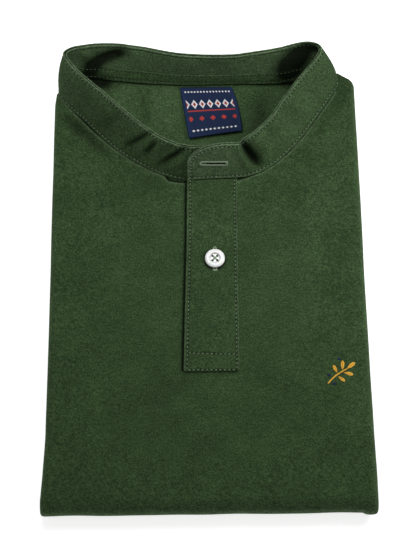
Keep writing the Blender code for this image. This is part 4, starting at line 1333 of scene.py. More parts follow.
def sprig_threads():
    """Satin threads of the leaves, and the stitches of the stem.

    A leaf's half width at t from -1 to 1 along it is w (1 - t^2)^0.8, and each
    thread slants forward from its middle rib to its edge.
    """
    starts, ends = [], []
    for x, y, angle, length, width in zip(*SPRIG_LEAVES.values()):
        t = np.linspace(-0.93, 0.93, int(length / 0.36))
        half = 0.5 * width * (1.0 - t ** 2) ** 0.8
        along, turned = 0.5 * length * t, turn_plan(angle)
        for side in (-1.0, 1.0):
            starts.append(np.column_stack((along - 0.25, side * 0.06 + 0.0 * t)) @ turned + (x, y))
            ends.append(np.column_stack((along + 0.55 * half, side * half)) @ turned + (x, y))
    stem = np.column_stack(tuple(SPRIG_STEM.values()))
    reach = run_along(stem)
    at = np.arange(0.0, reach[-1] - 0.9, 0.55)
    for shift in (-0.16, 0.16):
        for group, offset in ((starts, 0.0), (ends, 1.2)):
            x, y = (np.interp(at + offset, reach, stem[:, axis]) for axis in range(2))
            group.append(np.column_stack((x + shift, y - shift)))
    return on_chest(starts, ends)


def turn_plan(angle):
    """Matrix that turns rows of x and y by an angle in degrees."""
    turn = math.radians(angle)
    return np.array(((math.cos(turn), math.sin(turn)), (-math.sin(turn), math.cos(turn))))


def berry_threads():
    """Satin threads of the small berries beside the sprig's stem, of radius 1."""
    starts, ends = [], []
    for x, y in SPRIG_BERRIES:
        across = np.linspace(-0.85, 0.85, 6)
        half = np.sqrt(1.0 - across ** 2)
        starts.append(np.column_stack((x + across, y - half)))
        ends.append(np.column_stack((x + across, y + half)))
    return on_chest(starts, ends)


# ------------------------------------------------------------ materials


def new_node(tree, kind, **settings):
    """A node with its settings."""
    node = tree.nodes.new(kind)
    for name, value in settings.items():
        setattr(node, name, value)
    return node


def feed(tree, socket, value):
    """Links a socket to another's value, or sets its own."""
    if isinstance(value, bpy.types.NodeSocket):
        tree.links.new(value, socket)
    else:
        socket.default_value = value


def maths(tree, operation, *values, clamp=False):
    """Output of one Math node."""
    node = new_node(tree, "ShaderNodeMath", operation=operation, use_clamp=clamp)
    for socket, value in zip(node.inputs, values):
        feed(tree, socket, value)
    return node.outputs[0]


def blend_colour(tree, mode, share, first, second):
    """Output of one colour Mix node."""
    node = new_node(tree, "ShaderNodeMix", data_type="RGBA", blend_type=mode)
    feed(tree, node.inputs[0], share)
    feed(tree, node.inputs[6], first)
    feed(tree, node.inputs[7], second)
    return node.outputs[2]


def noise(tree, vector, scale, detail, roughness=0.5):
    """Output of one Noise Texture node, centred on 0.5."""
    node = new_node(tree, "ShaderNodeTexNoise")
    feed(tree, node.inputs["Vector"], vector)
    feed(tree, node.inputs["Scale"], scale)
    feed(tree, node.inputs["Detail"], detail)
    feed(tree, node.inputs["Roughness"], roughness)
    return node.outputs[0]


def span(tree, value, low, high):
    """Value from 0 to 1 spread over low to high, past both ends as well."""
    node = new_node(tree, "ShaderNodeMapRange", clamp=False)
    feed(tree, node.inputs["Value"], value)
    feed(tree, node.inputs["To Min"], low)
    feed(tree, node.inputs["To Max"], high)
    return node.outputs[0]


def object_place(tree):
    """Place in the piece's own axes."""
    return new_node(tree, "ShaderNodeTexCoord").outputs["Object"]


def mark(tree, name):
    """One of the piece's named values."""
    return new_node(tree, "ShaderNodeAttribute", attribute_name=name).outputs["Fac"]


def cover_place(tree):
    """Both coordinates of the piece's own UV map."""
    split = new_node(tree, "ShaderNodeSeparateXYZ")
    feed(tree, split.inputs[0], new_node(tree, "ShaderNodeUVMap", uv_map="cover").outputs[0])
    return split.outputs[0], split.outputs[1]


def shaded(tree, colour, shade):
    """A colour times a grey shade, which may be more than 1."""
    grey = new_node(tree, "ShaderNodeCombineColor")
    for channel in range(3):
        feed(tree, grey.inputs[channel], shade)
    return blend_colour(tree, "MULTIPLY", 1.0, colour, grey.outputs[0])


def raise_bump(tree, shader, height, distance):
    """Bump of the shader from a height and its depth in metres."""
    bump = new_node(tree, "ShaderNodeBump")
    bump.inputs["Distance"].default_value = distance
    feed(tree, bump.inputs["Height"], height)
    feed(tree, shader.inputs["Normal"], bump.outputs[0])


def new_group(name, inputs, outputs):
    """An empty shader node group with its sockets: name, kind and default of each."""
    tree = bpy.data.node_groups.new(name, "ShaderNodeTree")
    for label, kind, default in inputs:
        socket = tree.interface.new_socket(name=label, in_out="INPUT", socket_type=kind)
        socket.default_value = default
    for label, kind in outputs:
        tree.interface.new_socket(name=label, in_out="OUTPUT", socket_type=kind)
    return tree, tree.nodes.new("NodeGroupInput"), tree.nodes.new("NodeGroupOutput")


def jersey_group():
    """Washed jersey: patchy dye, fibre grain, fine ribs of the knit, faded edges with painted
    highlight, and painted shade.
    """
    found = bpy.data.node_groups.get("washed_jersey")
    if found:
        return found
    tree, given, out = new_group(
        "washed_jersey",
        (("Cloth", "NodeSocketColor", (0.03, 0.06, 0.02, 1.0)),
         ("Faded", "NodeSocketColor", (0.08, 0.12, 0.06, 1.0)),
         ("Fading", "NodeSocketFloat", 0.5),
         ("Rib Pitch", "NodeSocketFloat", 0.0008)),
        (("Colour", "NodeSocketColor"), ("Roughness", "NodeSocketFloat"),
         ("Height", "NodeSocketFloat")),
    )
    place = object_place(tree)
    drawn = new_node(tree, "ShaderNodeMapping")
    drawn.inputs["Scale"].default_value = (0.45, 1.0, 1.0)
    feed(tree, drawn.inputs["Vector"], place)
    patches = noise(tree, place, 45.0, 3.0, 0.6)
    cloudy = noise(tree, place, 210.0, 4.0, 0.65)
    slubs = noise(tree, drawn.outputs[0], 620.0, 3.0, 0.6)
    grain = noise(tree, place, 1050.0, 2.0, 0.7)
    fibre = noise(tree, place, 2600.0, 2.0, 0.6)
    total = 0.0
    for part, weight in ((patches, 0.7), (cloudy, 0.5), (grain, 3.4), (slubs, 0.9), (fibre, 0.8)):
        total = maths(tree, "MULTIPLY_ADD", maths(tree, "SUBTRACT", part, 0.5), weight, total)
    shade = maths(tree, "EXPONENT", total)
    # Towards the paler faded colour where the cloth is marked as worn: partly real fading, partly
    # painted highlight on rims, ridges and the lap.
    fade = maths(tree, "MULTIPLY", mark(tree, "wear_and_highlight"), given.outputs["Fading"])
    fade = maths(tree, "MULTIPLY", fade, span(tree, grain, 0.8, 1.2), clamp=True)
    # Darker where the cloth carries the crease mark: painted shade in creases, seam lines, corners and
    # contact shadows.
    shade = maths(tree, "MULTIPLY", shade, span(tree, mark(tree, "painted_shade"), 1.0, 0.10))
    colour = blend_colour(tree, "MIX", fade, given.outputs["Cloth"], given.outputs["Faded"])
    split = new_node(tree, "ShaderNodeSeparateXYZ")
    feed(tree, split.inputs[0], place)
    turn = maths(tree, "DIVIDE", split.outputs[0], given.outputs["Rib Pitch"])
    wander = span(tree, cloudy, -0.6, 0.6)
    rib = maths(tree, "SINE", maths(tree, "MULTIPLY", maths(tree, "ADD", turn, wander), 2.0 * math.pi))
    height = 0.0
    for part, weight in ((rib, 0.10), (grain, 0.8), (fibre, 0.35), (cloudy, 0.9)):
        height = maths(tree, "MULTIPLY_ADD", part, weight, height)
    feed(tree, out.inputs["Colour"], shaded(tree, colour, shade))
    feed(tree, out.inputs["Roughness"], span(tree, grain, 0.78, 0.98))
    feed(tree, out.inputs["Height"], height)
    return tree


def needle_group():
    """Needle holes along the rows of stitches, from the piece's stitch marks.

    Mask = exp(-(off / width)^2) (0.5 + 0.5 cos(2 pi run / pitch))^2, so a hole lies
    between each two stitches; the press is exp(-(off / 0.9)^2) along the whole row.
    """
    found = bpy.data.node_groups.get("needle_holes")
    if found:
        return found
    tree, given, out = new_group(
        "needle_holes",
        (("Pitch", "NodeSocketFloat", 3.0), ("Width", "NodeSocketFloat", 0.45)),
        (("Holes", "NodeSocketFloat"), ("Press", "NodeSocketFloat")),
    )
    off, run = mark(tree, "stitch_off"), mark(tree, "stitch_run")

    def soft(width):
        share = maths(tree, "POWER", maths(tree, "DIVIDE", off, width), 2.0)
        return maths(tree, "EXPONENT", maths(tree, "MULTIPLY", share, -1.0))

    turn = maths(tree, "MULTIPLY", maths(tree, "DIVIDE", run, given.outputs["Pitch"]), 2.0 * math.pi)
    beat = maths(tree, "MULTIPLY_ADD", maths(tree, "COSINE", turn), 0.5, 0.5)
    holes = maths(tree, "MULTIPLY", soft(given.outputs["Width"]), maths(tree, "POWER", beat, 2.0))
    feed(tree, out.inputs["Holes"], holes)
    feed(tree, out.inputs["Press"], soft(0.9))
    return tree


def use_group(tree, group, **values):
    """A group node with its inputs set; an underscore stands for a space."""
    node = new_node(tree, "ShaderNodeGroup", node_tree=group)
    for name, value in values.items():
        feed(tree, node.inputs[name.replace("_", " ")], value)
    return node.outputs


def new_material(name):
    """A node material: its tree and its Principled shader."""
    material = bpy.data.materials.new(name)
    material.use_nodes = True
    return material, material.node_tree, material.node_tree.nodes["Principled BSDF"]


def cloth_material(name, colour, faded, look, fading=0.55):
    """Jersey with painted shade in the needle holes and pressed grooves along its seams, and its soft
    nap as sheen.
    """
    material, tree, shader = new_material(name)
    knit = use_group(tree, jersey_group(), Cloth=(*colour, 1.0), Faded=(*faded, 1.0), Fading=fading)
    holes = use_group(tree, needle_group(), Pitch=look.pitch / MM)
    # Painted shade in the pressed groove along each row of stitches and in the needle holes.
    press = maths(tree, "MULTIPLY", holes["Press"], 0.35)
    dark = blend_colour(tree, "MULTIPLY", press, knit["Colour"], (0.45, 0.45, 0.45, 1.0))
    dark = blend_colour(tree, "MULTIPLY", holes["Holes"], dark, (0.12, 0.12, 0.12, 1.0))
    feed(tree, shader.inputs["Base Color"], dark)
    feed(tree, shader.inputs["Roughness"], knit["Roughness"])
    height = maths(tree, "MULTIPLY_ADD", holes["Holes"], -3.0, knit["Height"])
    raise_bump(tree, shader, height, look.nap)
    shader.inputs["Sheen Weight"].default_value = look.sheen
    shader.inputs["Sheen Roughness"].default_value = 0.45
    shader.inputs["Sheen Tint"].default_value = (0.45, 0.75, 0.35, 1.0)
    shader.inputs["Specular IOR Level"].default_value = 0.06
    return material


def thread_material(name, colour, gloss):
    """Twisted thread: slanting strands round each thread with painted shade between them, a little
    uneven in dye.
    """
    material, tree, shader = new_material(name)
    run, round_it = cover_place(tree)
    turn = maths(tree, "MULTIPLY_ADD", run, 1.7, maths(tree, "MULTIPLY", round_it, 2.0))
    strand = maths(tree, "ABSOLUTE", maths(tree, "SINE", maths(tree, "MULTIPLY", turn, math.pi)))
    dye = span(tree, noise(tree, object_place(tree), 700.0, 2.0), 0.7, 1.3)
    # Darker in the grooves between the strands: painted shade.
    shade = maths(tree, "MULTIPLY", span(tree, strand, 0.55, 1.1), dye)
    feed(tree, shader.inputs["Base Color"], shaded(tree, (*colour, 1.0), shade))
    raise_bump(tree, shader, strand, 0.0001)
    shader.inputs["Roughness"].default_value = gloss
    shader.inputs["Specular IOR Level"].default_value = 0.25
    return material


def button_material(colour):
    """Polished resin: faint cloudy rings under a clear gloss, and painted shade in its holes and round
    its recess.
    """
    material, tree, shader = new_material("white_button")
    place = object_place(tree)
    shift = new_node(tree, "ShaderNodeMapping")
    shift.inputs["Location"].default_value = (-BUTTON_PLACE[0] * MM, -BUTTON_PLACE[1] * MM, 0.0)
    feed(tree, shift.inputs["Vector"], place)
    rings = new_node(tree, "ShaderNodeTexWave", wave_type="RINGS", rings_direction="Z")
    feed(tree, rings.inputs["Vector"], shift.outputs[0])
    rings.inputs["Scale"].default_value = 120.0
    rings.inputs["Distortion"].default_value = 3.0
    cloudy = noise(tree, place, 260.0, 3.0)
    mix = maths(tree, "MULTIPLY_ADD", rings.outputs[1], 0.25, maths(tree, "MULTIPLY", cloudy, 0.75))
    pale = tuple(min(1.0, part * 1.06) for part in colour)
    dull = tuple(part * 0.92 for part in colour)
    resin = blend_colour(tree, "MIX", mix, (*dull, 1.0), (*pale, 1.0))
    # Near black where the button carries its shade mark: painted shade.
    resin = blend_colour(tree, "MIX", mark(tree, "painted_shade"), resin, (0.01, 0.015, 0.01, 1.0))
    feed(tree, shader.inputs["Base Color"], resin)
    feed(tree, shader.inputs["Roughness"], span(tree, cloudy, 0.16, 0.34))
    shader.inputs["Coat Weight"].default_value = 0.5
    shader.inputs["Coat Roughness"].default_value = 0.12
    shader.inputs["Subsurface Weight"].default_value = 0.08
    shader.inputs["Subsurface Scale"].default_value = 0.002
    return material


def label_material(ground, pale, accent):
    """Woven satin label: fine ribs, paler selvedges, rows of small lozenges.

    A lozenge row is where |u' - 1/2| / half + |v - v0| / h < 1, with u' the place
    within one repeat across; the line is where |v - v0| < h.
    """
    material, tree, shader = new_material("navy_woven_label")
    u, v = cover_place(tree)

    def aside(value, middle):
        return maths(tree, "ABSOLUTE", maths(tree, "SUBTRACT", value, middle))

    def lozenges(repeats, middle, half, tall):
        place = maths(tree, "FRACT", maths(tree, "MULTIPLY", u, repeats))
        over = maths(tree, "DIVIDE", aside(place, 0.5), half)
        high = maths(tree, "DIVIDE", aside(v, middle), tall)
        return maths(tree, "LESS_THAN", maths(tree, "ADD", over, high), 1.0)

    inside = maths(tree, "LESS_THAN", aside(u, 0.5), 0.43)
    white, red = 0.0, maths(tree, "LESS_THAN", aside(v, 0.535), 0.012)
    for row in ((7.0, 0.66, 0.42, 0.085), (17.0, 0.90, 0.36, 0.022), (13.0, 0.13, 0.36, 0.026)):
        white = maths(tree, "MAXIMUM", white, lozenges(*row))
    for row in ((7.0, 0.66, 0.20, 0.040), (5.0, 0.38, 0.26, 0.055)):
        red = maths(tree, "MAXIMUM", red, lozenges(*row))
    threads = maths(tree, "SINE", maths(tree, "MULTIPLY", v, 2.0 * math.pi * 74.0))
    crossing = maths(tree, "SINE", maths(tree, "MULTIPLY", u, 2.0 * math.pi * 90.0))
    rib = maths(tree, "MULTIPLY_ADD", threads, 0.35, maths(tree, "MULTIPLY", crossing, 0.15))
    edge = maths(tree, "POWER", maths(tree, "MULTIPLY", aside(u, 0.5), 2.0), 14.0)
    selvedge = tuple(2.6 * part for part in ground)
    base = (*ground, 1.0)
    for share, colour in (
        (maths(tree, "MULTIPLY", edge, 0.55, clamp=True), selvedge),
        (maths(tree, "MULTIPLY", white, inside), pale),
        (maths(tree, "MULTIPLY", red, inside), accent),
    ):
        base = blend_colour(tree, "MIX", share, base, (*colour, 1.0))
    feed(tree, shader.inputs["Base Color"], shaded(tree, base, span(tree, rib, 0.95, 1.35)))
    raise_bump(tree, shader, maths(tree, "MULTIPLY_ADD", white, 0.6, rib), 0.00012)
    shader.inputs["Roughness"].default_value = 0.6
    shader.inputs["Specular IOR Level"].default_value = 0.2
    return material


# ------------------------------------------------------------ settings


def length_value(name, description, default):
    """A length in metres that a user may change."""
    return bpy.props.FloatProperty(name=name, description=description, default=default,
                                   min=0.0, precision=5, unit="LENGTH")


def colour_value(name, description, default):
    """A scene-linear colour that a user may change."""
    return bpy.props.FloatVectorProperty(name=name, description=description, default=default,
                                         size=3, min=0.0, max=1.0, subtype="COLOR")


def share_value(name, description, default, most=1.0):
    """A plain factor that a user may change."""
    return bpy.props.FloatProperty(name=name, description=description, default=default,
                                   min=0.0, max=most)


class ShirtCloth(bpy.types.PropertyGroup):
    """Walls and colours of the cloth."""

    panel_wall: length_value("Panel wall", "Thickness of the front panel with its nap", 0.0015)
    nap: length_value("Nap", "Depth of the cloth's own grain", 0.00022)
    pitch: length_value("Stitch pitch", "Distance from one stitch to the next", 0.003)
    sheen: share_value("Sheen", "How much the washed nap catches the light", 0.04)
    # How far the paler faded colour is mixed in: partly real fading, partly painted highlight.
    fading: share_value("Fading", "How much folds and edges have faded", 0.45)
    body: colour_value("Body", "Jersey of the body", (0.0340, 0.0630, 0.0245))
    # Lighter copy of the body jersey: painted light on the collar's outer ply.
    band: colour_value("Band", "Outer ply of the stand collar", (0.0410, 0.0740, 0.0300))
    # Lighter copy of the body jersey: painted light inside the neck, on the inner ply, back panel and
    # tape.
    inside: colour_value("Inside", "Jersey seen inside the neck", (0.0460, 0.0830, 0.0340))
    placket: colour_value("Placket", "Cloth of the plackets", (0.0330, 0.0610, 0.0240))
    # Paler colour for faded folds and edges, also used as painted highlight on rims, ridges and the
    # lap.
    faded: colour_value("Faded", "Where folds and edges have faded", (0.0980, 0.1500, 0.0800))
    label: colour_value("Label", "Ground of the woven label", (0.0080, 0.0200, 0.0640))
    label_pale: colour_value("Label pale", "Pale threads of the label", (0.74, 0.74, 0.76))
    label_accent: colour_value("Label accent", "Accent threads of the label", (0.42, 0.045, 0.040))


class ShirtThread(bpy.types.PropertyGroup):
    """Sizes and colours of the sewing."""

    length: length_value("Stitch length", "Length of thread shown by each stitch", 0.0018)
    width: length_value("Thread width", "Width of the sewing thread", 0.0006)
    satin: length_value("Satin width", "Width of the buttonhole and leaf threads", 0.00048)
    colour: colour_value("Thread", "Sewing thread", (0.1600, 0.2250, 0.1350))
    deep: colour_value("Inside thread", "Sewing thread inside the neck", (0.0620, 0.0980, 0.0480))
    lap: colour_value("Lap thread", "Thread round the lap's end", (0.2700, 0.3500, 0.2300))
    # Near black: painted shade in the open slit of each buttonhole.
    slit: colour_value("Slit", "Cut edges in the buttonholes", (0.0040, 0.0080, 0.0030))
    gold: colour_value("Gold", "Leaf sprig", (0.9500, 0.5300, 0.0650))
    berry: colour_value("Berry", "Berries of the sprig", (0.0160, 0.0240, 0.0850))
    button: colour_value("Button", "Resin of the button", (0.9400, 0.9500, 0.9300))


class ShirtStage(bpy.types.PropertyGroup):
    """Camera, floor and light."""

    lens: bpy.props.FloatProperty(name="Lens", description="Focal length in millimetres",
                                  default=84.3, min=1.0)
    distance: length_value("Distance", "From the camera to its target", 0.9099)
    elevation: bpy.props.FloatProperty(name="Elevation", description="Camera above the horizon",
                                       default=math.radians(68.0), subtype="ANGLE")
    azimuth: bpy.props.FloatProperty(name="Azimuth", description="Camera round the shirt",
                                     default=math.radians(-0.712), subtype="ANGLE")
    target: bpy.props.FloatVectorProperty(name="Target", description="Where the camera looks",
                                          default=(0.00083, 0.0, 0.01382), size=3, unit="LENGTH")
    floor: colour_value("Floor", "Pale surface that the packet lies on", (0.93, 0.93, 0.93))
    glow: share_value("Floor glow", "Light that the white table gives off", 0.69)
    world: share_value("Sky", "Strength of the light from all round", 0.20, 10.0)
    key: share_value("Key", "Watts of the soft light over the collar", 0.66, 1000.0)
    side: share_value("Side", "Watts of the soft light from the right", 0.72, 1000.0)
    front: share_value("Front", "Watts of the soft light from the front", 1.0, 1000.0)


# ------------------------------------------------------------ operators


def soft_light(name, place, size, watts):
    """A square soft light that faces the shirt and that the camera doesn't see."""
    light = bpy.data.lights.new(name, "AREA")
    light.size = size
    light.energy = watts
    lamp = bpy.data.objects.new(name, light)
    lamp.location = place
    lamp.visible_camera = False
    back = np.array(place) - (0.0, 0.02, 0.0)
    back = back / np.linalg.norm(back)
    lamp.rotation_euler = (math.acos(back[2]), 0.0, math.atan2(back[0], -back[1]))
    bpy.context.scene.collection.objects.link(lamp)


class SHIRT_OT_stage(bpy.types.Operator):
    """Set the camera, the pale floor and the soft studio light"""

    bl_idname = "shirt.stage"
    bl_label = "Set the Stage"

    def execute(self, context):
        stage = context.scene.shirt_stage
        azimuth, elevation = stage.azimuth, stage.elevation
        back = np.array((math.sin(azimuth) * math.cos(elevation),
                         -math.cos(azimuth) * math.cos(elevation), math.sin(elevation)))
        lens = bpy.data.cameras.new("camera")
        lens.lens = stage.lens
        camera = bpy.data.objects.new("camera", lens)
        camera.location = np.array(stage.target) + stage.distance * back
        camera.rotation_euler = (0.5 * math.pi - elevation, 0.0, azimuth)
        context.scene.collection.objects.link(camera)
        context.scene.camera = camera
        context.scene.view_settings.view_transform = "Standard"
        world = bpy.data.worlds.new("sky")
        world.use_nodes = True
        sky = world.node_tree.nodes["Background"]
        sky.inputs["Color"].default_value = (1.0, 1.0, 1.0, 1.0)
        sky.inputs["Strength"].default_value = stage.world
        context.scene.world = world
        soft_light("key", (-0.08, 0.12, 0.35), 0.2, stage.key)
        soft_light("side", (0.30, 0.05, 0.25), 0.2, stage.side)
        soft_light("front", (0.0, -0.9, 0.7), 0.6, stage.front)
        reach = np.linspace(-3.0, 3.0, 13)
        x, y = np.meshgrid(reach, reach, indexing="ij")
        mesh = bpy.data.meshes.new("floor")
        points = np.stack((x, y, 0.0 * x), axis=-1).reshape(-1, 3)
        mesh.from_pydata(points.tolist(), [], quads(numbering(x.shape)).tolist())
        material, tree, shader = new_material("pale_floor")
        shader.inputs["Base Color"].default_value = (*stage.floor, 1.0)
        cloudy = noise(tree, object_place(tree), 30.0, 2.0)
        feed(tree, shader.inputs["Roughness"], span(tree, cloudy, 0.85, 0.95))
        shader.inputs["Specular IOR Level"].default_value = 0.1
        shader.inputs["Emission Color"].default_value = (1.0, 1.0, 1.0, 1.0)
        shader.inputs["Emission Strength"].default_value = stage.glow
        mesh.materials.append(material)
        floor = bpy.data.objects.new("floor", mesh)
        context.scene.collection.objects.link(floor)
        return {"FINISHED"}


def jersey_material(context, part):
    """The jersey of the body, the inside or the plackets, made once."""
    cloth = context.scene.shirt_cloth
    name = "green_jersey_" + part
    found = bpy.data.materials.get(name)
    return found or cloth_material(name, getattr(cloth, part), cloth.faded, cloth, cloth.fading)


def sewing_material(context, part, gloss=0.6):
    """One of the threads, made once."""
    name = part + "_thread"
    found = bpy.data.materials.get(name)
    return found or thread_material(name, getattr(context.scene.shirt_thread, part), gloss)


def add_threads(name, threads, width, lift, material):
    """A piece made of many short threads, given by their starts, ends and ups."""
    starts, ends, ups = (np.concatenate(part) for part in zip(*threads))
    points, faces, cover = thread_skin(starts, ends, ups, width, lift)
    return new_piece(name, points, faces, material, cover=cover)


class SHIRT_OT_front(bpy.types.Operator):
    """Sew the front panel: the top, both side folds, the cross fold and the underside"""

    bl_idname = "shirt.front"
    bl_label = "Front Panel"

    def execute(self, context):
        cloth = context.scene.shirt_cloth
        grid, wear_and_highlight = front_cloth_grid()
        points = grid.reshape(-1, 3)
        x, y, z = points.T
        off = np.min([np.abs(y - spot) for spot in HEM_ROWS], axis=0)
        # Painted shade in creases, at the neck seam and by the placket, and a painted highlight on the
        # ridge by the neck seam.
        painted_shade, ridge = front_painted_shade(points)
        marks = {
            "stitch_off": np.where(z < MIDDLE_Z - 8.0, off, FAR),
            "stitch_run": x - SIDES["left"][0],
            "wear_and_highlight": np.broadcast_to(wear_and_highlight, grid.shape[:2]).ravel() + ridge,
            "painted_shade": painted_shade,
        }
        piece = new_piece("front_panel_cloth", points, front_faces(grid),
                          jersey_material(context, "body"),
                          marks=marks, replaces=("front_panel",))
        wall = piece.modifiers.new("Cloth wall", "SOLIDIFY")
        wall.thickness = cloth.panel_wall
        wall.offset = -1.0
        return {"FINISHED"}


class SHIRT_OT_layers(bpy.types.Operator):
    """Fold the hidden layers: sleeves, side flaps and the turned-up half"""

    bl_idname = "shirt.layers"
    bl_label = "Hidden Layers"

    def execute(self, context):
        grid = layers_grid()
        points = grid.reshape(-1, 3)
        piece = new_piece("folded_layers_cloth", points, quads(numbering(grid.shape)),
                          jersey_material(context, "body"),
                          marks=stitch_marks(points, []), replaces=("folded_layers",))
        wall = piece.modifiers.new("Cloth wall", "SOLIDIFY")
        wall.thickness = LAYER_PLY * MM
        wall.offset = 0.0
        return {"FINISHED"}


class SHIRT_OT_back(bpy.types.Operator):
    """Sew the back panel that shows through the neck"""

    bl_idname = "shirt.back"
    bl_label = "Back Panel"

    def execute(self, context):
        grid = back_cloth_grid()
        points, faces, _ = sheet_skin(grid, BACK_WALL, 0.6)
        marks = stitch_marks(points, [])
        # Painted shade under the tape and in the back panel's corners.
        marks["painted_shade"] = back_painted_shade(points)
        piece = new_piece("back_panel_cloth", points, faces, jersey_material(context, "inside"),
                          marks=marks, replaces=("back_panel",))
        return {"FINISHED"}


class SHIRT_OT_band(bpy.types.Operator):
    """Sew the stand collar's two plies"""

    bl_idname = "shirt.band"
    bl_label = "Stand Collar"

    def execute(self, context):
        for side, name, part, slot in (
            (1.0, "band_outer", "band", "jersey"), (-1.0, "band_inner", "inside", "jersey_inside"),
        ):
            grid, wear_and_highlight, painted_shade, outward, edge = band_ply_grid(side)
            points, faces, take = sheet_skin(grid, BAND_PLY, 0.75)
            marks = stitch_marks(points, [band_line(at, up, side)[0] for at, up in band_rows()])
            edge = edge[take]
            inward = ((grid.reshape(-1, 3)[take] - points) * outward[take]).sum(axis=1)
            # Painted shade in the groove between the two plies at the free edge, with no painted
            # highlight there.
            shade_between_plies = smooth(inward, 0.05, 0.3) * smooth(edge, 0.3, 0.9) * bell(edge, 0.0, 6.0)
            marks["wear_and_highlight"] = wear_and_highlight[take] * (1.0 - shade_between_plies)
            marks["painted_shade"] = np.maximum(painted_shade[take], shade_between_plies)
            piece = new_piece(name + "_cloth", points, faces, jersey_material(context, part),
                              marks=marks, replaces=(name,))
        return {"FINISHED"}


class SHIRT_OT_tape(bpy.types.Operator):
    """Sew the neck tape over the back neck seam"""

    bl_idname = "shirt.tape"
    bl_label = "Neck Tape"

    def execute(self, context):
        grid, shade = tape_grid()
        points, faces, take = sheet_skin(grid, TAPE_WALL, 0.5)
        marks = stitch_marks(points, [tape_line(height)[0] for height in TAPE_ROWS])
        marks["painted_shade"] = shade[take]
        piece = new_piece("neck_tape_cloth", points, faces, jersey_material(context, "inside"),
                          marks=marks, replaces=("neck_tape",))
        first, last = tape_run()
        return {"FINISHED"}


class SHIRT_OT_plackets(bpy.types.Operator):
    """Sew the top placket and the under placket"""

    bl_idname = "shirt.plackets"
    bl_label = "Plackets"

    def execute(self, context):
        grid = placket_top_grid()
        points, faces, _ = sheet_skin(grid, PLACKET_WALL, 0.8)
        marks = stitch_marks(points, [placket_line(line)[0] for line in placket_rows()])
        x, y, _ = points.T
        edges = (look_up(PLACKET_EDGES, name, y) for name in ("open_x", "fold_x"))
        # Lighter along the open and fold edges: wear with painted highlight.
        marks["wear_and_highlight"] = sum(bell(x, edge, 0.9) for edge in edges)
        # Painted contact shadow in a ring round the chest button.
        marks["painted_shade"] = np.clip(1.3 * bell(from_button(x, y), 6.4, 1.3), 0.0, 1.0)
        top = new_piece("placket_top_cloth", points, faces, jersey_material(context, "placket"),
                        marks=marks, replaces=("placket_top",))
        points, faces, _ = sheet_skin(placket_under_grid(), UNDER_WALL, 0.6)
        under = new_piece("placket_under_cloth", points, faces, jersey_material(context, "placket"),
                          marks=stitch_marks(points, []),
                          replaces=("placket_under",))
        return {"FINISHED"}


class SHIRT_OT_label(bpy.types.Operator):
    """Sew the woven label that hangs from the neck tape"""

    bl_idname = "shirt.label"
    bl_label = "Neck Label"

    def execute(self, context):
        cloth = context.scene.shirt_cloth
        grid, cover = label_grid()
        points, faces, take = sheet_skin(grid, LABEL_WALL, 0.35)
        material = label_material(cloth.label, cloth.label_pale, cloth.label_accent)
        piece = new_piece("neck_label_cloth", points, faces, material,
                          cover=cover[take], replaces=("neck_label",))
        return {"FINISHED"}


class SHIRT_OT_button(bpy.types.Operator):
    """Turn the chest button and sew it on with crossed thread"""

    bl_idname = "shirt.button"
    bl_label = "Chest Button"

    def execute(self, context):
        thread = context.scene.shirt_thread
        points, faces = button_skin()
        radius = np.hypot(points[:, 0], points[:, 1])
        # Painted shade down the holes, under them, and in the groove round the recess.
        painted_button_shade = smooth(RECESS_HEIGHT - points[:, 2], 0.0, 0.2) * (radius < RECESS)
        painted_button_shade = np.maximum(painted_button_shade, 0.75 * bell(radius, 3.5, 0.2) * (points[:, 2] > 1.0))
        points = points + (*BUTTON_PLACE, button_rest())
        piece = new_piece("chest_button_turned", points, faces,
                          button_material(tuple(thread.button)),
                          marks={"painted_shade": painted_button_shade}, replaces=("chest_button",))
        weld(piece.data, 1e-6)
        add_threads("button_cross", [button_threads()], 0.5, 0.8,
                    sewing_material(context, "lap"))
        return {"FINISHED"}


def weld(mesh, reach):
    """Merges the points of a mesh that lie together and turns its faces outwards."""
    work = bmesh.new()
    work.from_mesh(mesh)
    bmesh.ops.remove_doubles(work, verts=work.verts[:], dist=reach)
    bmesh.ops.recalc_face_normals(work, faces=work.faces[:])
    work.to_mesh(mesh)
    work.free()
    mesh.shade_smooth()


class SHIRT_OT_buttonholes(bpy.types.Operator):
    """Work the buttonholes of the band and of the top placket"""

    bl_idname = "shirt.buttonholes"
    bl_label = "Buttonholes"

    def execute(self, context):
        width = context.scene.shirt_thread.satin / MM
        for name, place, length, half, inner in (
            ("band_buttonhole", band_hole_place, 17.2, 2.2, 0.75),
            ("chest_buttonhole", chest_hole_place, 15.6, 1.6, 0.5),
        ):
            add_threads(name, [buttonhole_threads(place, length, half, inner)], width, 0.3,
                        sewing_material(context, "lap"))
            # Near-black threads in each slit: painted shade in the open buttonhole.
            add_threads(name + "_slit", [slit_shade_lips(place, length)], 0.5, 0.04,
                        sewing_material(context, "slit", 0.9))
        return {"FINISHED"}


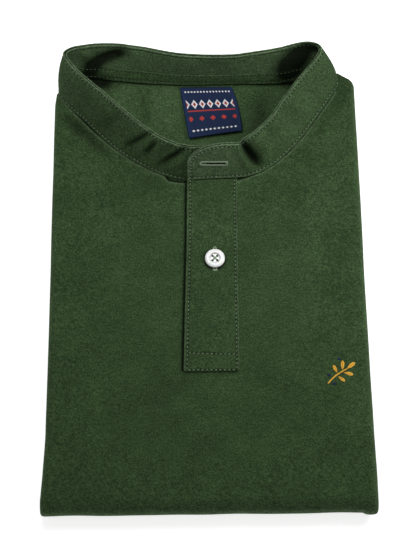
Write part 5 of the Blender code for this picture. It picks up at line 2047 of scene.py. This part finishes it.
class SHIRT_OT_stitches(bpy.types.Operator):
    """Lay the rows of stitches on the band, the tape, the placket and the hem"""

    bl_idname = "shirt.stitches"
    bl_label = "Rows of Stitches"

    def execute(self, context):
        thread = context.scene.shirt_thread
        pitch = context.scene.shirt_cloth.pitch / MM
        length, width = thread.length / MM, thread.width / MM
        green, deep = sewing_material(context, "colour"), sewing_material(context, "deep")
        for side, name in ((1.0, "band_outer_stitches"), (-1.0, "band_inner_stitches")):
            lines = [stitches_on(*band_line(at, up, side), pitch, length) for at, up in band_rows()]
            if side > 0.0:
                add_threads("lap_stitches", [lines.pop()], width, 0.2,
                            sewing_material(context, "lap"))
            add_threads(name, lines, width, 0.16, green if side > 0.0 else deep)
        lines = [stitches_on(*tape_line(height), pitch, length) for height in TAPE_ROWS]
        add_threads("tape_stitches", lines, width, 0.16, deep)
        lines = [stitches_on(*placket_line(line), pitch, length) for line in placket_rows()]
        add_threads("placket_stitches", lines, width, 0.16, green)
        left, right = SIDES["left"][0] + HEM_REACH, SIDES["right"][0] - HEM_REACH
        lines = [
            stitches_on(np.linspace((left, spot, HEM_ROW_Z), (right, spot, HEM_ROW_Z), 90),
                        -upright(90), pitch, length)
            for spot in HEM_ROWS
        ]
        add_threads("hem_stitches", lines, width, 0.08, green)
        return {"FINISHED"}


class SHIRT_OT_sprig(bpy.types.Operator):
    """Stitch the small leaf sprig on the chest"""

    bl_idname = "shirt.sprig"
    bl_label = "Leaf Sprig"

    def execute(self, context):
        width = context.scene.shirt_thread.satin / MM
        add_threads("leaf_sprig", [sprig_threads()], width, 0.3,
                    sewing_material(context, "gold", 0.4))
        add_threads("sprig_berries", [berry_threads()], width, 0.35,
                    sewing_material(context, "berry", 0.45))
        return {"FINISHED"}


PIECES = (
    SHIRT_OT_stage, SHIRT_OT_front, SHIRT_OT_layers, SHIRT_OT_back, SHIRT_OT_band, SHIRT_OT_tape,
    SHIRT_OT_plackets, SHIRT_OT_label, SHIRT_OT_button, SHIRT_OT_buttonholes, SHIRT_OT_stitches,
    SHIRT_OT_sprig,
)
SETTINGS = (ShirtCloth, ShirtThread, ShirtStage)


class SHIRT_PT_pieces(bpy.types.Panel):
    """Lists the pieces of the shirt and the sizes and colours behind them."""

    bl_idname = "SHIRT_PT_pieces"
    bl_label = "Folded Shirt"
    bl_space_type = "VIEW_3D"
    bl_region_type = "UI"
    bl_category = "Shirt"

    def draw(self, context):
        for piece in PIECES:
            self.layout.operator(piece.bl_idname)
        for name in ("shirt_cloth", "shirt_thread", "shirt_stage"):
            box = self.layout.box()
            group = getattr(context.scene, name)
            for value in group.__annotations__:
                box.prop(group, value)


def register():
    """Adds the settings, the operators and the panel."""
    for part in (*SETTINGS, *PIECES, SHIRT_PT_pieces):
        bpy.utils.register_class(part)
    bpy.types.Scene.shirt_cloth = bpy.props.PointerProperty(type=ShirtCloth)
    bpy.types.Scene.shirt_thread = bpy.props.PointerProperty(type=ShirtThread)
    bpy.types.Scene.shirt_stage = bpy.props.PointerProperty(type=ShirtStage)


def unregister():
    """Takes them away again."""
    for name in ("shirt_cloth", "shirt_thread", "shirt_stage"):
        delattr(bpy.types.Scene, name)
    for part in reversed((*SETTINGS, *PIECES, SHIRT_PT_pieces)):
        bpy.utils.unregister_class(part)


def main():
    """Makes every piece in order."""
    register()
    for step in (
        bpy.ops.shirt.stage, bpy.ops.shirt.front, bpy.ops.shirt.layers, bpy.ops.shirt.back,
        bpy.ops.shirt.band, bpy.ops.shirt.tape, bpy.ops.shirt.plackets, bpy.ops.shirt.label,
        bpy.ops.shirt.button, bpy.ops.shirt.buttonholes, bpy.ops.shirt.stitches, bpy.ops.shirt.sprig,
    ):
        step()
    bpy.context.view_layer.update()


if __name__ == "__main__":
    main()
